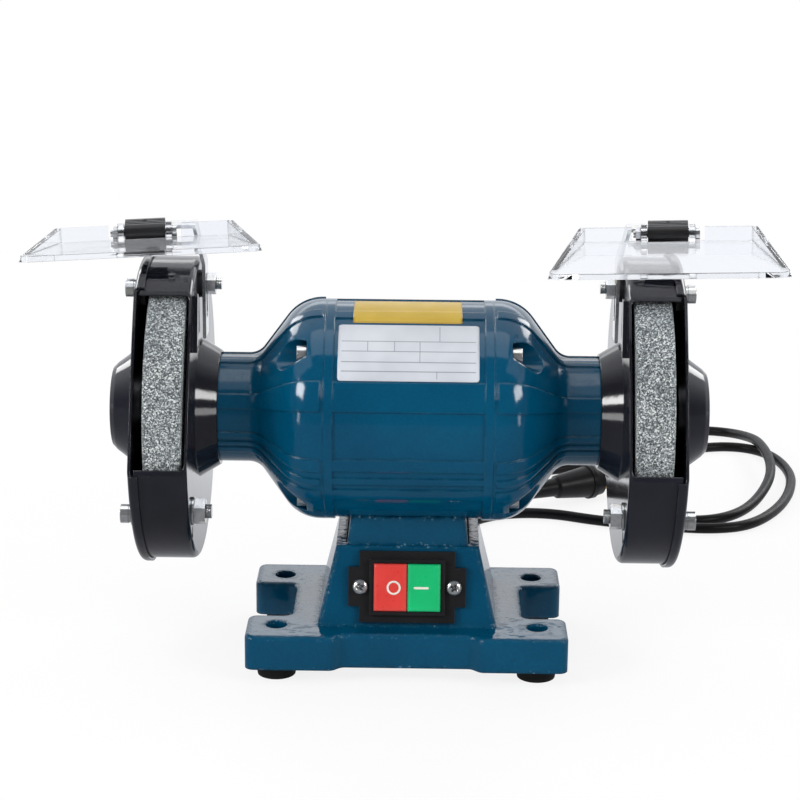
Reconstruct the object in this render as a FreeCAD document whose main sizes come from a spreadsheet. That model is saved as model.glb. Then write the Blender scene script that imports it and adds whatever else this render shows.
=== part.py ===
import FreeCAD, Part
import math
import operator
import os

import Sketcher

# Bench grinder with two wheels on a common motor shaft.
# Millimetres. X runs along the shaft, -Y faces the user and Z is up.
# The origin lies on the bench, in the middle of the four bench holes.

SIZES = {
    # Wheels and the motor axis
    "axis_height": 111.5,
    "wheel_diameter": 125.0,
    "wheel_width": 16.0,
    "arbor_diameter": 12.7,
    "wheel_center": 101.5,
    "blotter_thickness": 0.5,
    "blotter_diameter": 42.0,
    "flange_diameter": 44.0,
    "inner_flange_thickness": 4.5,
    "outer_flange_thickness": 3.5,
    "flange_relief": 0.6,
    "flange_rim": 6.0,
    "thread_diameter": 12.0,
    "thread_end": 123.0,
    "edge_bevel": 0.8,
    "wheel_nut_width": 18.0,
    "wheel_nut_height": 7.0,
    # Clearances
    "press_gap": 0.02,
    "running_gap": 0.06,
    "free_gap": 0.3,
    "hole_gap": 0.2,
    "overcut": 1.0,
    # Fasteners
    "m3_diameter": 3.0,
    "m4_diameter": 4.0,
    "m6_diameter": 6.0,
    "small_head_diameter": 6.5,
    "small_head_height": 2.5,
    "low_head_diameter": 5.6,
    "low_head_height": 1.8,
    "cover_head_diameter": 8.0,
    "cover_head_height": 3.4,
    "m4_head_diameter": 8.4,
    "m4_head_height": 4.2,
    "m6_head_diameter": 10.0,
    "m6_head_height": 5.0,
    "plate_screw_length": 8.0,
    "fixing_screw_grip": 8.0,
    "switch_screw_length": 10.0,
    "tap_depth": 9.0,
    "screw_proud": 1.0,
    # Base casting and feet
    "base_length": 139.4,
    "base_depth": 92.0,
    "slab_height": 15.3,
    "ear_length": 19.0,
    "notch_width": 39.0,
    "recess_width": 56.0,
    "recess_depth": 4.0,
    "corner_radius": 4.0,
    "edge_radius": 1.6,
    "hole_pitch_x": 113.4,
    "hole_pitch_y": 62.5,
    "bench_hole_diameter": 9.5,
    "foot_height": 7.0,
    "foot_diameter": 19.0,
    "foot_taper": 1.2,
    "foot_spigot_diameter": 14.0,
    "foot_spigot_height": 4.0,
    "pedestal_length": 78.0,
    "pedestal_depth": 64.0,
    "roof_thickness": 7.7,
    "pedestal_slope": 13.2,
    "casting_wall": 4.0,
    "cavity_length": 68.0,
    "cavity_depth": 54.0,
    "neck_length": 53.0,
    "neck_depth": 44.5,
    "neck_draft": 2.5,
    "saddle_wrap": 10.0,
    "bottom_plate_thickness": 1.5,
    "bottom_plate_ledge_x": 7.0,
    "bottom_plate_ledge_y": 3.0,
    "plate_screw_pitch_y": 40.0,
    "housing_screw_pitch": 28.0,
    "wire_hole_diameter": 10.0,
    # Motor shell
    "ring_radius": 48.1,
    "ring_width": 4.0,
    "housing_half": 35.9,
    "panel_drop": 0.8,
    "housing_wall": 3.3,
    "rib_depth": 0.7,
    "rib_root": 1.0,
    "bell_rib_start": 1.2,
    "bell_land": 2.1,
    "bell_shoulder_radius": 18.5,
    "bell_slope": 53.5,
    "bell_fillet_radius": 8.5,
    "neck_radius": 23.5,
    "neck_end": 82.1,
    "bell_bore_radius": 37.5,
    "bell_bore_depth": 9.0,
    "bell_throat_start": 63.0,
    "spigot_length": 3.0,
    "spigot_wall": 4.0,
    "shaft_window_radius": 10.0,
    "bell_screw_circle": 42.0,
    "bell_screw_angle": 48.0,
    "bell_boss_diameter": 9.0,
    "bell_boss_length": 13.0,
    "bell_pocket_diameter": 12.6,
    "bell_pocket_floor": 7.4,
    # Electrical steel, windings and rotor
    "core_length": 40.0,
    "stator_bore_radius": 25.3,
    "air_gap": 0.35,
    "winding_inner_radius": 27.5,
    "winding_outer_radius": 36.0,
    "winding_overhang": 12.5,
    "end_ring_length": 5.0,
    "end_ring_radius": 24.0,
    "rotor_shaft_radius": 10.0,
    "shaft_step_radius": 9.0,
    # Ball bearings
    "bearing_bore": 15.0,
    "bearing_outside": 35.0,
    "bearing_width": 11.0,
    "bearing_shoulder": 80.3,
    "ball_diameter": 5.95,
    "ball_circle": 25.0,
    "race_shoulder": 1.8,
    "preload_thickness": 1.0,
    # Wheel guards
    "sheet": 1.2,
    "guard_plate": 91.0,
    "guard_radius": 66.0,
    "guard_corner": 2.6,
    "guard_rim": 113.0,
    "guard_hub_radius": 12.0,
    "boss_small_radius": 25.0,
    "boss_large_radius": 30.5,
    "open_top_angle": 63.0,
    "open_bottom_angle": -10.0,
    "open_edge_radius": 400.0,
    "hem_height": 2.0,
    "hem_width": 4.0,
    "hem_low": 33.0,
    "hem_lean": 11.9,
    "cover_face": 115.5,
    "cover_lip": 4.4,
    "cover_gap": 0.4,
    "dome_end": 129.0,
    "dome_large_radius": 28.0,
    "dome_small_radius": 19.5,
    "dome_round": 2.0,
    "tab_thickness": 2.0,
    "tab_width": 13.0,
    "tab_reach": 13.0,
    "cover_screw_circle": 57.0,
    "flat_washer_diameter": 9.6,
    "flat_washer_thickness": 1.0,
    "spring_washer_diameter": 7.6,
    "spring_washer_thickness": 1.2,
    "guard_screw_circle": 20.3,
    "upper_stud_y": 3.5,
    "upper_stud_z": 54.5,
    "upper_stud_diameter": 5.0,
    "lower_stud_y": -45.0,
    "lower_stud_z": -33.0,
    "lower_stud_diameter": 6.0,
    "stud_proud": 2.5,
    "stud_slot_width": 2.6,
    "stud_slot_height": 5.0,
    "stud_slot_drop": 9.5,
    "spacer_thickness": 1.2,
    "spacer_diameter": 12.0,
    "washer_thickness": 1.0,
    # Eye shields
    "bracket_thickness": 1.5,
    "bracket_width": 11.0,
    "bracket_low": 32.0,
    "bracket_knee": 64.0,
    "bracket_lean": 93.0,
    "bracket_tab_end": 9.0,
    "bracket_slot": 12.5,
    "hinge_y": -8.0,
    "left_hinge_x": 113.1,
    "left_hinge_z": 79.2,
    "left_roll": 2.3,
    "left_yaw": 5.8,
    "left_tilt": 7.0,
    "right_hinge_x": 108.8,
    "right_hinge_z": 81.0,
    "right_roll": -2.5,
    "right_yaw": -5.6,
    "right_tilt": -0.2,
    "block_width": 17.0,
    "block_radius": 3.5,
    "block_depth": 12.0,
    "block_slot_front": 4.4,
    "tab_rise": 0.6,
    "tab_setback": 6.0,
    "grip_depth": 0.9,
    "grip_width": 1.6,
    "hinge_screw_diameter": 3.0,
    "hinge_head_height": 2.0,
    "hinge_nut_height": 2.2,
    "shield_depth": 64.5,
    "shield_far_width": 74.0,
    "shield_near_width": 96.8,
    "shield_thickness": 2.4,
    "shield_drop": 2.5,
    "shield_set": 1.4,
    "shield_rim": 6.0,
    "shield_rim_wall": 2.2,
    "shield_corner": 5.0,
    "lug_radius": 4.0,
    "lug_thickness": 2.6,
    # Switch
    "switch_margin": 2.1,
    "switch_plate_length": 41.5,
    "switch_plate_height": 31.0,
    "switch_ear_length": 51.0,
    "switch_ear_height": 17.0,
    "switch_plate_thickness": 2.2,
    "bezel_wall": 1.5,
    "bezel_height": 2.0,
    "switch_screw_pitch": 40.6,
    "button_width": 14.3,
    "button_height": 20.6,
    "button_proud": 5.2,
    "button_depth": 6.0,
    "button_travel": 2.6,
    "button_round": 0.9,
    "switch_body_wall": 1.8,
    "switch_body_depth": 20.0,
    # Parts in the base
    "capacitor_diameter": 22.0,
    "capacitor_length": 46.0,
    "capacitor_y": 11.0,
    "clip_length": 12.0,
    "clip_wall": 1.4,
    "terminal_length": 20.0,
    "terminal_depth": 10.0,
    "terminal_height": 10.0,
    "terminal_x": -18.0,
    "terminal_y": -19.0,
    # Mains cord
    "cord_diameter": 5.5,
    "gland_x": 15.0,
    "gland_z": 15.0,
    "gland_diameter": 10.0,
    "gland_flange_diameter": 13.0,
    "gland_flange_thickness": 2.4,
    "gland_length": 37.0,
    "gland_tip_radius": 3.6,
    "gland_groove": 0.9,
    "plug_heading": 30.0,
    "plug_tail_length": 25.0,
    "plug_body_length": 29.0,
    "plug_neck_radius": 6.2,
    "plug_radius": 8.6,
    "plug_collar_radius": 9.3,
    "plug_collar_width": 3.0,
    "plug_collar_setback": 8.0,
    "plug_shoulder": 1.5,
    "plug_taper": 0.6,
    "pin_length": 15.0,
    "pin_width": 4.8,
    "pin_thickness": 1.6,
    "pin_offset": 4.2,
}

# Ribs of the motor shell: middle angle above the front horizontal, and width in degrees.
HOUSING_RIBS = ((73.0, 6.6), (21.7, 15.4), (-14.4, 7.0), (-24.3, 4.4), (-33.8, 7.4))
# Guard cover screws, as angles above the front horizontal.
COVER_SCREW_ANGLES = (78.0, -37.0, 200.0)
GUARD_SCREW_ANGLES = (90.0, 210.0, 330.0)
BALL_COUNT = 8
# Blades of the plug around its axis.
PIN_ANGLES = (0.0, 120.0, 240.0)
# Hexagon nuts: width across flats and height as shares of the thread.
NUT_ACROSS = 1.65
NUT_HEIGHT = 0.8
SIDES = (("left", -1), ("right", 1))

# Centre line of the cord: strain relief, drop to the bench, two loose loops, turn, plug.
CORD_ROUTE = (
    (15.0, 79.0, 15.0),
    (15.0, 99.0, 14.0),
    (16.0, 120.0, 9.0),
    (19.0, 140.0, 4.2),
    (25.0, 157.0, 2.8),
    (42.0, 179.0, 2.8),
    (71.0, 184.0, 2.8),
    (101.0, 170.0, 2.8),
    (129.0, 159.0, 2.8),
    (157.0, 154.0, 2.8),
    (182.0, 163.0, 2.8),
    (200.0, 189.0, 2.8),
    (209.0, 223.0, 2.8),
    (212.0, 259.0, 2.8),
    (205.0, 293.0, 2.8),
    (184.0, 310.0, 2.8),
    (157.0, 307.0, 2.8),
    (141.0, 285.0, 2.8),
    (138.0, 252.0, 2.8),
    (119.0, 216.0, 2.8),
    (123.0, 188.0, 2.8),
    (145.0, 172.0, 2.8),
    (172.0, 177.0, 2.8),
    (188.0, 204.0, 3.0),
    (201.0, 246.0, 13.9),
    (209.0, 296.0, 13.9),
    (201.0, 329.0, 3.0),
    (180.0, 346.0, 2.8),
    (153.0, 343.0, 2.8),
    (136.0, 322.0, 2.8),
    (122.0, 293.0, 2.8),
    (104.0, 271.0, 2.8),
    (80.0, 258.0, 2.8),
    (53.0, 252.0, 2.8),
    (25.0, 248.0, 2.8),
    (2.5, 235.5, 2.8),
    (-4.0, 210.5, 3.0),
    (9.0, 188.0, 4.0),
    (34.0, 181.5, 8.4),
    (55.5, 194.0, 9.4),
)

OPERATIONS = {"+": operator.add, "-": operator.sub, "*": operator.mul, "/": operator.truediv}


class Size:
    """A dimension: its present value and the sheet expression that it follows."""

    def __init__(self, value, text):
        self.value = value
        self.text = text

    def __add__(self, other):
        return joined(self, "+", other)

    def __radd__(self, other):
        return joined(other, "+", self)

    def __sub__(self, other):
        return joined(self, "-", other)

    def __rsub__(self, other):
        return joined(other, "-", self)

    def __mul__(self, other):
        return joined(self, "*", other)

    def __rmul__(self, other):
        return joined(other, "*", self)

    def __truediv__(self, other):
        return joined(self, "/", other)

    def __neg__(self):
        return joined(-1.0, "*", self)


def sized(value):
    return value if isinstance(value, Size) else Size(float(value), repr(float(value)))


def joined(left, sign, right):
    left = sized(left)
    right = sized(right)
    return Size(OPERATIONS[sign](left.value, right.value), f"({left.text} {sign} {right.text})")


def cos(angle):
    angle = sized(angle)
    return Size(math.cos(math.radians(angle.value)), f"cos({angle.text})")


def sin(angle):
    angle = sized(angle)
    return Size(math.sin(math.radians(angle.value)), f"sin({angle.text})")


def tan(angle):
    angle = sized(angle)
    return Size(math.tan(math.radians(angle.value)), f"tan({angle.text})")


def root(value):
    value = sized(value)
    return Size(math.sqrt(value.value), f"sqrt({value.text})")


def polar(radius, angle):
    """Y and Z of a point at an angle above the front horizontal."""
    return -(radius * cos(angle)), radius * sin(angle)


doc = FreeCAD.newDocument("bench_grinder")
sheet = doc.addObject("Spreadsheet::Sheet", "dims")


class Dims:
    """The sheet's cells by name."""


dims = Dims()
for row, (alias, number) in enumerate(SIZES.items(), start=1):
    sheet.set(f"A{row}", alias)
    sheet.set(f"B{row}", repr(number))
    sheet.setAlias(f"B{row}", alias)
    setattr(dims, alias, Size(number, f"dims.{alias}"))
doc.recompute()

nodes = []


def node(solid, name):
    """Give a finished sub-part its own name and list it for writing."""
    solid.Label = name
    nodes.append(solid)
    return solid


# Building helpers

UP = FreeCAD.Rotation()
TURNS = {
    "X": FreeCAD.Rotation(FreeCAD.Vector(0, 1, 0), 90),
    "Y": FreeCAD.Rotation(FreeCAD.Vector(1, 0, 0), -90),
    "Z": UP,
}
# Rotations that carry a solid made about X onto another axis.
X_TO_Y = FreeCAD.Rotation(FreeCAD.Vector(0, 0, 1), 90)
X_TO_Z = FreeCAD.Rotation(FreeCAD.Vector(0, 1, 0), -90)


def bind(obj, prop, size):
    size = sized(size)
    setattr(obj, prop, size.value)
    obj.setExpression(prop, size.text)


def place(obj, at, rotation=UP):
    at = [sized(value) for value in at]
    obj.Placement = FreeCAD.Placement(FreeCAD.Vector(*[value.value for value in at]), rotation)
    for axis, value in zip("xyz", at):
        obj.setExpression(f"Placement.Base.{axis}", value.text)
    return obj


def ordered(span):
    """Both ends of a span, the lower one first."""
    return sorted((sized(end) for end in span), key=lambda end: end.value)


def on_axis(axis, along, across):
    """A point from its place along an axis and its two other coordinates in order."""
    point = list(across)
    point.insert("XYZ".index(axis), along)
    return point


def box(name, x, y, z):
    solid = doc.addObject("Part::Box", name)
    spans = [ordered(span) for span in (x, y, z)]
    for prop, (low, high) in zip(("Length", "Width", "Height"), spans):
        bind(solid, prop, high - low)
    return place(solid, [low for low, high in spans])


def cylinder(name, axis, radius, along, at):
    solid = doc.addObject("Part::Cylinder", name)
    low, high = ordered(along)
    bind(solid, "Radius", radius)
    bind(solid, "Height", high - low)
    return place(solid, on_axis(axis, low, at), TURNS[axis])


def hexagon(name, axis, across_flats, along, at):
    solid = doc.addObject("Part::Prism", name)
    low, high = ordered(along)
    solid.Polygon = 6
    bind(solid, "Circumradius", across_flats / 2 / cos(30.0))
    bind(solid, "Height", high - low)
    return place(solid, on_axis(axis, low, at), TURNS[axis])


def taper(name, bottom, top, z):
    """A centred block whose length and depth change evenly with height."""
    solid = doc.addObject("Part::Wedge", name)
    bind(solid, "Ymin", z[0])
    bind(solid, "Ymax", z[1])
    for prefix, (length, depth) in (("", bottom), ("2", top)):
        bind(solid, f"X{prefix}min", -length / 2)
        bind(solid, f"X{prefix}max", length / 2)
        bind(solid, f"Z{prefix}min", -depth / 2)
        bind(solid, f"Z{prefix}max", depth / 2)
    solid.Placement = FreeCAD.Placement(FreeCAD.Vector(), FreeCAD.Rotation(FreeCAD.Vector(1, 0, 0), 90))
    return solid


def fuse(name, *solids):
    result = doc.addObject("Part::MultiFuse", name)
    result.Shapes = list(solids)
    result.Refine = True
    return result


def group(name, solids):
    result = doc.addObject("Part::Compound", name)
    result.Links = list(solids)
    return result


def cut(name, base, *tools):
    result = doc.addObject("Part::Cut", name)
    result.Base = base
    result.Tool = tools[0] if len(tools) == 1 else group(name + "_tools", tools)
    result.Refine = True
    return result


def rounded(name, base, radius, chosen):
    """Round the edges of a solid that the test picks."""
    doc.recompute()
    result = doc.addObject("Part::Fillet", name)
    result.Base = base
    value = sized(radius).value
    result.Edges = [
        (number, value, value)
        for number, edge in enumerate(base.Shape.Edges, start=1)
        if chosen(edge)
    ]
    return result


def upright(edge):
    ends = [vertex.Point for vertex in edge.Vertexes]
    return len(ends) == 2 and (ends[1] - ends[0]).Length > 0 and abs(
        abs((ends[1] - ends[0]).normalize().z) - 1) < 1e-6


def at_height(height):
    return lambda edge: all(abs(vertex.Z - height) < 1e-4 for vertex in edge.Vertexes)


def arc_between(start, end, radius, turn):
    """Short arc from start to end; turn is 1 anticlockwise and -1 clockwise."""
    chord = end - start
    half = chord.Length / 2
    left = FreeCAD.Vector(-chord.y, chord.x, 0).normalize()
    middle = (start + end) / 2 + left * (turn * math.sqrt(radius ** 2 - half ** 2))
    angles = [math.atan2(point.y - middle.y, point.x - middle.x) for point in (start, end)[::turn]]
    if angles[1] < angles[0]:
        angles[1] += 2 * math.pi
    circle = Part.Circle(middle, FreeCAD.Vector(0, 0, 1), radius)
    return Part.ArcOfCircle(circle, *angles)


def fix_point(sketch, geometry, position, x, y):
    for kind, size in (("DistanceX", sized(x)), ("DistanceY", sized(y))):
        rule = Sketcher.Constraint(kind, -1, 1, geometry, position, size.value)
        sketch.setExpression(f"Constraints[{sketch.addConstraint(rule)}]", size.text)


def fix_radius(sketch, geometry, radius):
    rule = Sketcher.Constraint("Radius", geometry, radius.value)
    sketch.setExpression(f"Constraints[{sketch.addConstraint(rule)}]", radius.text)


def draw_loop(sketch, corners):
    """Close a loop of corners (x, y), or (x, y, radius, turn) where an arc leaves the corner."""
    points = [FreeCAD.Vector(sized(c[0]).value, sized(c[1]).value, 0) for c in corners]
    numbers = []
    ends = []
    for index, corner in enumerate(corners):
        start = points[index]
        end = points[(index + 1) % len(points)]
        if len(corner) == 2:
            curve = Part.LineSegment(start, end)
            ends.append((1, 2))
        else:
            curve = arc_between(start, end, sized(corner[2]).value, corner[3])
            ends.append((1, 2)[::corner[3]])
        numbers.append(sketch.addGeometry(curve, False))
    for index, corner in enumerate(corners):
        following = (index + 1) % len(corners)
        sketch.addConstraint(Sketcher.Constraint(
            "Coincident", numbers[index], ends[index][1], numbers[following], ends[following][0]))
        fix_point(sketch, numbers[index], ends[index][0], corner[0], corner[1])
        if len(corner) == 4:
            fix_radius(sketch, numbers[index], sized(corner[2]))


def sketch_in(body, name, plane, offset, loops):
    sketch = body.newObject("Sketcher::SketchObject", name)
    support = [part for part in body.Origin.OriginFeatures if part.Role == plane + "_Plane"]
    sketch.AttachmentSupport = [(support[0], "")]
    sketch.MapMode = "FlatFace"
    offset = sized(offset)
    sketch.AttachmentOffset = FreeCAD.Placement(FreeCAD.Vector(0, 0, offset.value), UP)
    sketch.setExpression("AttachmentOffset.Base.z", offset.text)
    for corners in loops:
        draw_loop(sketch, corners)
    return sketch


def add_pad(body, name, plane, along, loops):
    low, high = ordered(along)
    offset = -high if plane == "XZ" else low
    feature = body.newObject("PartDesign::Pad", name)
    feature.Profile = sketch_in(body, name + "_sketch", plane, offset, loops)
    bind(feature, "Length", high - low)
    body.Tip = feature
    return body


def pad(name, plane, along, loops):
    return add_pad(doc.addObject("PartDesign::Body", name), name + "_pad", plane, along, loops)


def revolve(name, corners, at=(0.0, 0.0, 0.0), rotation=UP, sweep=360.0):
    """A turned solid, or a sector of one about straight up: corners are (place along X, radius)."""
    body = doc.addObject("PartDesign::Body", name)
    sketch = sketch_in(body, name + "_sketch", "XZ", 0.0, [corners])
    feature = body.newObject("PartDesign::Revolution", name + "_turn")
    feature.Profile = sketch
    feature.ReferenceAxis = (sketch, ["H_Axis"])
    feature.Angle = sweep
    feature.Midplane = sweep < 360.0
    body.Tip = feature
    return place(body, at, rotation)


def sided(corners, side):
    """The same outline for the left (-1) or right (1) end of the shaft."""
    return [
        (side * corner[0], corner[1]) + ((corner[2], side * corner[3]) if len(corner) == 4 else ())
        for corner in corners
    ]


def ring(name, x, inner, outer, side=1):
    """A plain washer on the motor axis."""
    corners = [(x[0], inner), (x[1], inner), (x[1], outer), (x[0], outer)]
    return revolve(name, sided(corners, side), ON_AXIS)


def screw(name, head, shank):
    """A screw along Z, seat at zero and head up: head and shank are (diameter, length)."""
    body = fuse(
        name + "_blank",
        cylinder(name + "_head", "Z", head[0] / 2, (0.0, head[1]), (0.0, 0.0)),
        cylinder(name + "_shank", "Z", shank[0] / 2, (-shank[1], 0.0), (0.0, 0.0)),
    )
    reach = head[0] * 0.36
    width = head[0] * 0.075
    depth = (head[1] * 0.55, head[1] + 1.0)
    return cut(
        name,
        body,
        box(name + "_slot_a", (-reach, reach), (-width, width), depth),
        box(name + "_slot_b", (-width, width), (-reach, reach), depth),
    )


def facing(direction):
    """Rotation that turns Z to a direction."""
    return FreeCAD.Rotation(FreeCAD.Vector(0, 0, 1), FreeCAD.Vector(*direction))


ON_AXIS = (0.0, 0.0, dims.axis_height)

# Heights and radii that several pieces share
base_bottom = dims.foot_height
pad_top = base_bottom + dims.slab_height
panel_radius = dims.ring_radius - dims.panel_drop
ridge = dims.axis_height - panel_radius - dims.roof_thickness
pedestal_height = ridge - pad_top
switch_rise = dims.switch_plate_height / 2 + dims.switch_margin
housing_bore = panel_radius - dims.housing_wall
plate_top = base_bottom + dims.bottom_plate_thickness
rear_face = dims.base_depth / 2 - dims.recess_depth
slope = dims.pedestal_slope
bell_seat = dims.housing_half + dims.bell_pocket_floor
cord_radius = dims.cord_diameter / 2
arbor_radius = dims.arbor_diameter / 2
bearing_seat = dims.bearing_outside / 2 + dims.press_gap
hole_corners = [(sx, sy) for sx in (-1, 1) for sy in (-1, 1)]

# Screw heads as (diameter, height)
M4_HEAD = (dims.m4_head_diameter, dims.m4_head_height)
M6_HEAD = (dims.m6_head_diameter, dims.m6_head_height)
COVER_HEAD = (dims.cover_head_diameter, dims.cover_head_height)
SMALL_HEAD = (dims.small_head_diameter, dims.small_head_height)
LOW_HEAD = (dims.low_head_diameter, dims.low_head_height)


def slope_frame(solid):
    """Stand a solid on the sloping front of the pedestal: Y goes in and Z goes up the slope."""
    at = (
        0.0,
        switch_rise * sin(slope) - dims.pedestal_depth / 2,
        pad_top + switch_rise * cos(slope),
    )
    return place(solid, at, FreeCAD.Rotation(FreeCAD.Vector(-1, 0, 0), slope.value))


# Base

button_well = (
    dims.button_width * 2 + dims.free_gap * 3,
    dims.button_height + dims.free_gap * 2,
)
switch_shell = (
    button_well[0] + dims.switch_body_wall * 2,
    button_well[1] + dims.switch_body_wall * 2,
)


def slab_outline():
    half_x = dims.base_length / 2
    half_y = dims.base_depth / 2
    ear = half_x - dims.ear_length
    notch = dims.notch_width / 2
    recess = dims.recess_width / 2
    deep = dims.recess_depth
    quarter = [
        (recess, -half_y + deep),
        (recess + deep, -half_y),
        (half_x, -half_y),
        (half_x, -notch),
        (ear, -notch),
    ]
    right = quarter + [(x, -y) for x, y in reversed(quarter)]
    return right + [(-x, y) for x, y in reversed(right)]


def bench_holes(name, radius, z):
    return [
        cylinder(f"{name}_{number}", "Z", radius, z,
                 (sx * dims.hole_pitch_x / 2, sy * dims.hole_pitch_y / 2))
        for number, (sx, sy) in enumerate(hole_corners, start=1)
    ]


def plate_screw_places():
    x = dims.cavity_length / 2 + dims.bottom_plate_ledge_x / 2
    return [(sx * x, sy * dims.plate_screw_pitch_y / 2) for sx, sy in hole_corners]


def switch_cutters():
    window = [
        (-switch_shell[0] / 2 - dims.hole_gap, switch_shell[0] / 2 + dims.hole_gap),
        (-dims.casting_wall, dims.switch_body_depth + dims.free_gap),
        (-switch_shell[1] / 2 - dims.hole_gap, switch_shell[1] / 2 + dims.hole_gap),
    ]
    cutters = [box("switch_window", *window)]
    depth = (-dims.overcut, dims.switch_screw_length + dims.overcut)
    for sx in (-1, 1):
        cutters.append(cylinder(
            f"switch_screw_hole_{sx + 2}", "Y", dims.m3_diameter / 2 + dims.press_gap, depth,
            (sx * dims.switch_screw_pitch / 2, 0.0)))
    return slope_frame(group("switch_cutters", cutters))


def base_casting():
    slab = pad("base_slab", "XY", (base_bottom, pad_top), [slab_outline()])
    slab = rounded("base_slab_corners", slab, dims.corner_radius, upright)
    slab = rounded("base_slab_edges", slab, dims.edge_radius, at_height(pad_top.value))
    ridge_size = [
        dims.pedestal_length - 2 * pedestal_height * tan(slope),
        dims.pedestal_depth - 2 * pedestal_height * tan(slope),
    ]
    pedestal = taper("pedestal", (dims.pedestal_length, dims.pedestal_depth), ridge_size, (pad_top, ridge))
    pedestal = rounded("pedestal_edges", pedestal, dims.edge_radius, leaning)
    neck_top = dims.axis_height - panel_radius + dims.saddle_wrap
    neck = taper(
        "neck",
        (dims.neck_length, dims.neck_depth),
        (dims.neck_length - 2 * dims.neck_draft, dims.neck_depth - dims.neck_draft),
        (ridge, neck_top),
    )
    neck = rounded("neck_edges", neck, dims.edge_radius, leaning)
    cavity = taper(
        "cavity",
        (dims.cavity_length, dims.cavity_depth),
        [length - 2 * dims.casting_wall for length in ridge_size],
        (base_bottom, ridge),
    )
    rebate = box(
        "plate_rebate",
        plate_span(dims.cavity_length, dims.bottom_plate_ledge_x),
        plate_span(dims.cavity_depth, dims.bottom_plate_ledge_y),
        (base_bottom, plate_top),
    )
    saddle = cylinder("saddle", "X", panel_radius + dims.running_gap,
                      (-dims.housing_half, dims.housing_half), (0.0, dims.axis_height))
    cutters = [cavity, rebate, saddle, switch_cutters()]
    cutters += bench_holes("bench_hole", dims.bench_hole_diameter / 2, (base_bottom, pad_top))
    cutters += bench_holes("foot_socket", dims.foot_spigot_diameter / 2 + dims.running_gap,
                           (base_bottom, base_bottom + dims.foot_spigot_height))
    for number, at in enumerate(plate_screw_places(), start=1):
        cutters.append(cylinder(f"plate_tap_{number}", "Z", dims.m3_diameter / 2 + dims.press_gap,
                                (base_bottom, base_bottom + dims.tap_depth), at))
    for sx in (-1, 1):
        cutters.append(cylinder(f"web_hole_{sx + 2}", "Z", dims.m6_diameter / 2 + dims.hole_gap,
                                (ridge - dims.overcut, neck_top), (sx * dims.housing_screw_pitch / 2, 0.0)))
    cutters.append(cylinder("wire_hole_web", "Z", dims.wire_hole_diameter / 2,
                            (ridge - dims.overcut, neck_top), (0.0, 0.0)))
    cutters.append(cylinder("gland_hole", "Y", dims.gland_diameter / 2 + dims.running_gap,
                            (dims.cavity_depth / 4, dims.base_depth / 2), (dims.gland_x, dims.gland_z)))
    node(cut("base", fuse("base_blank", slab, pedestal, neck), *cutters), "base_casting")


def leaning(edge):
    """The four edges that climb the side of a tapered block."""
    ends = [vertex.Point for vertex in edge.Vertexes]
    return abs(ends[0].z - ends[1].z) > 1e-6


def plate_span(cavity, ledge):
    half = cavity / 2 + ledge
    return -half, half


def bottom_plate():
    gap = dims.hole_gap
    x = plate_span(dims.cavity_length, dims.bottom_plate_ledge_x - gap)
    y = plate_span(dims.cavity_depth, dims.bottom_plate_ledge_y - gap)
    blank = box("bottom_plate_blank", x, y, (base_bottom, plate_top))
    holes = [
        cylinder(f"plate_hole_{number}", "Z", dims.m3_diameter / 2 + gap, (base_bottom, plate_top), at)
        for number, at in enumerate(plate_screw_places(), start=1)
    ]
    node(cut("bottom", blank, *holes), "bottom_plate")
    screws = [
        place(screw(f"plate_screw_{number}", LOW_HEAD, (dims.m3_diameter, dims.plate_screw_length)),
              (at[0], at[1], base_bottom), facing((0, 0, -1)))
        for number, at in enumerate(plate_screw_places(), start=1)
    ]
    node(group("plate_screws", screws), "bottom_plate_screws")


def rubber_feet():
    bore = dims.bench_hole_diameter / 2
    outer = dims.foot_diameter / 2
    spigot = dims.foot_spigot_diameter / 2
    corners = [
        (0.0, bore),
        (base_bottom + dims.foot_spigot_height - dims.free_gap, bore),
        (base_bottom + dims.foot_spigot_height - dims.free_gap, spigot),
        (base_bottom, spigot),
        (base_bottom, outer),
        (0.0, outer - dims.foot_taper),
    ]
    feet = [
        revolve(f"foot_{number}", corners,
                (sx * dims.hole_pitch_x / 2, sy * dims.hole_pitch_y / 2, 0.0), X_TO_Z)
        for number, (sx, sy) in enumerate(hole_corners, start=1)
    ]
    node(group("feet", feet), "rubber_feet")


# Motor shell


def bell_screw_places():
    angle = dims.bell_screw_angle
    y, z = polar(dims.bell_screw_circle, angle)
    return [(sy * y, sz * z) for sy in (-1, 1) for sz in (-1, 1)]


def rib_loops():
    loops = []
    low = panel_radius - dims.housing_wall / 2
    high = panel_radius + dims.rib_depth
    for middle, width in HOUSING_RIBS:
        for mirror in (1, -1):
            corners = []
            for radius, angle in ((low, -1), (high, -1), (high, 1), (low, 1)):
                y, z = polar(radius, middle + angle * width / 2)
                corners.append((mirror * y, z))
            corners[1] += (high, -mirror)
            loops.append(corners)
    return loops


def on_motor(places):
    return [(y, z + dims.axis_height) for y, z in places]


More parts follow.
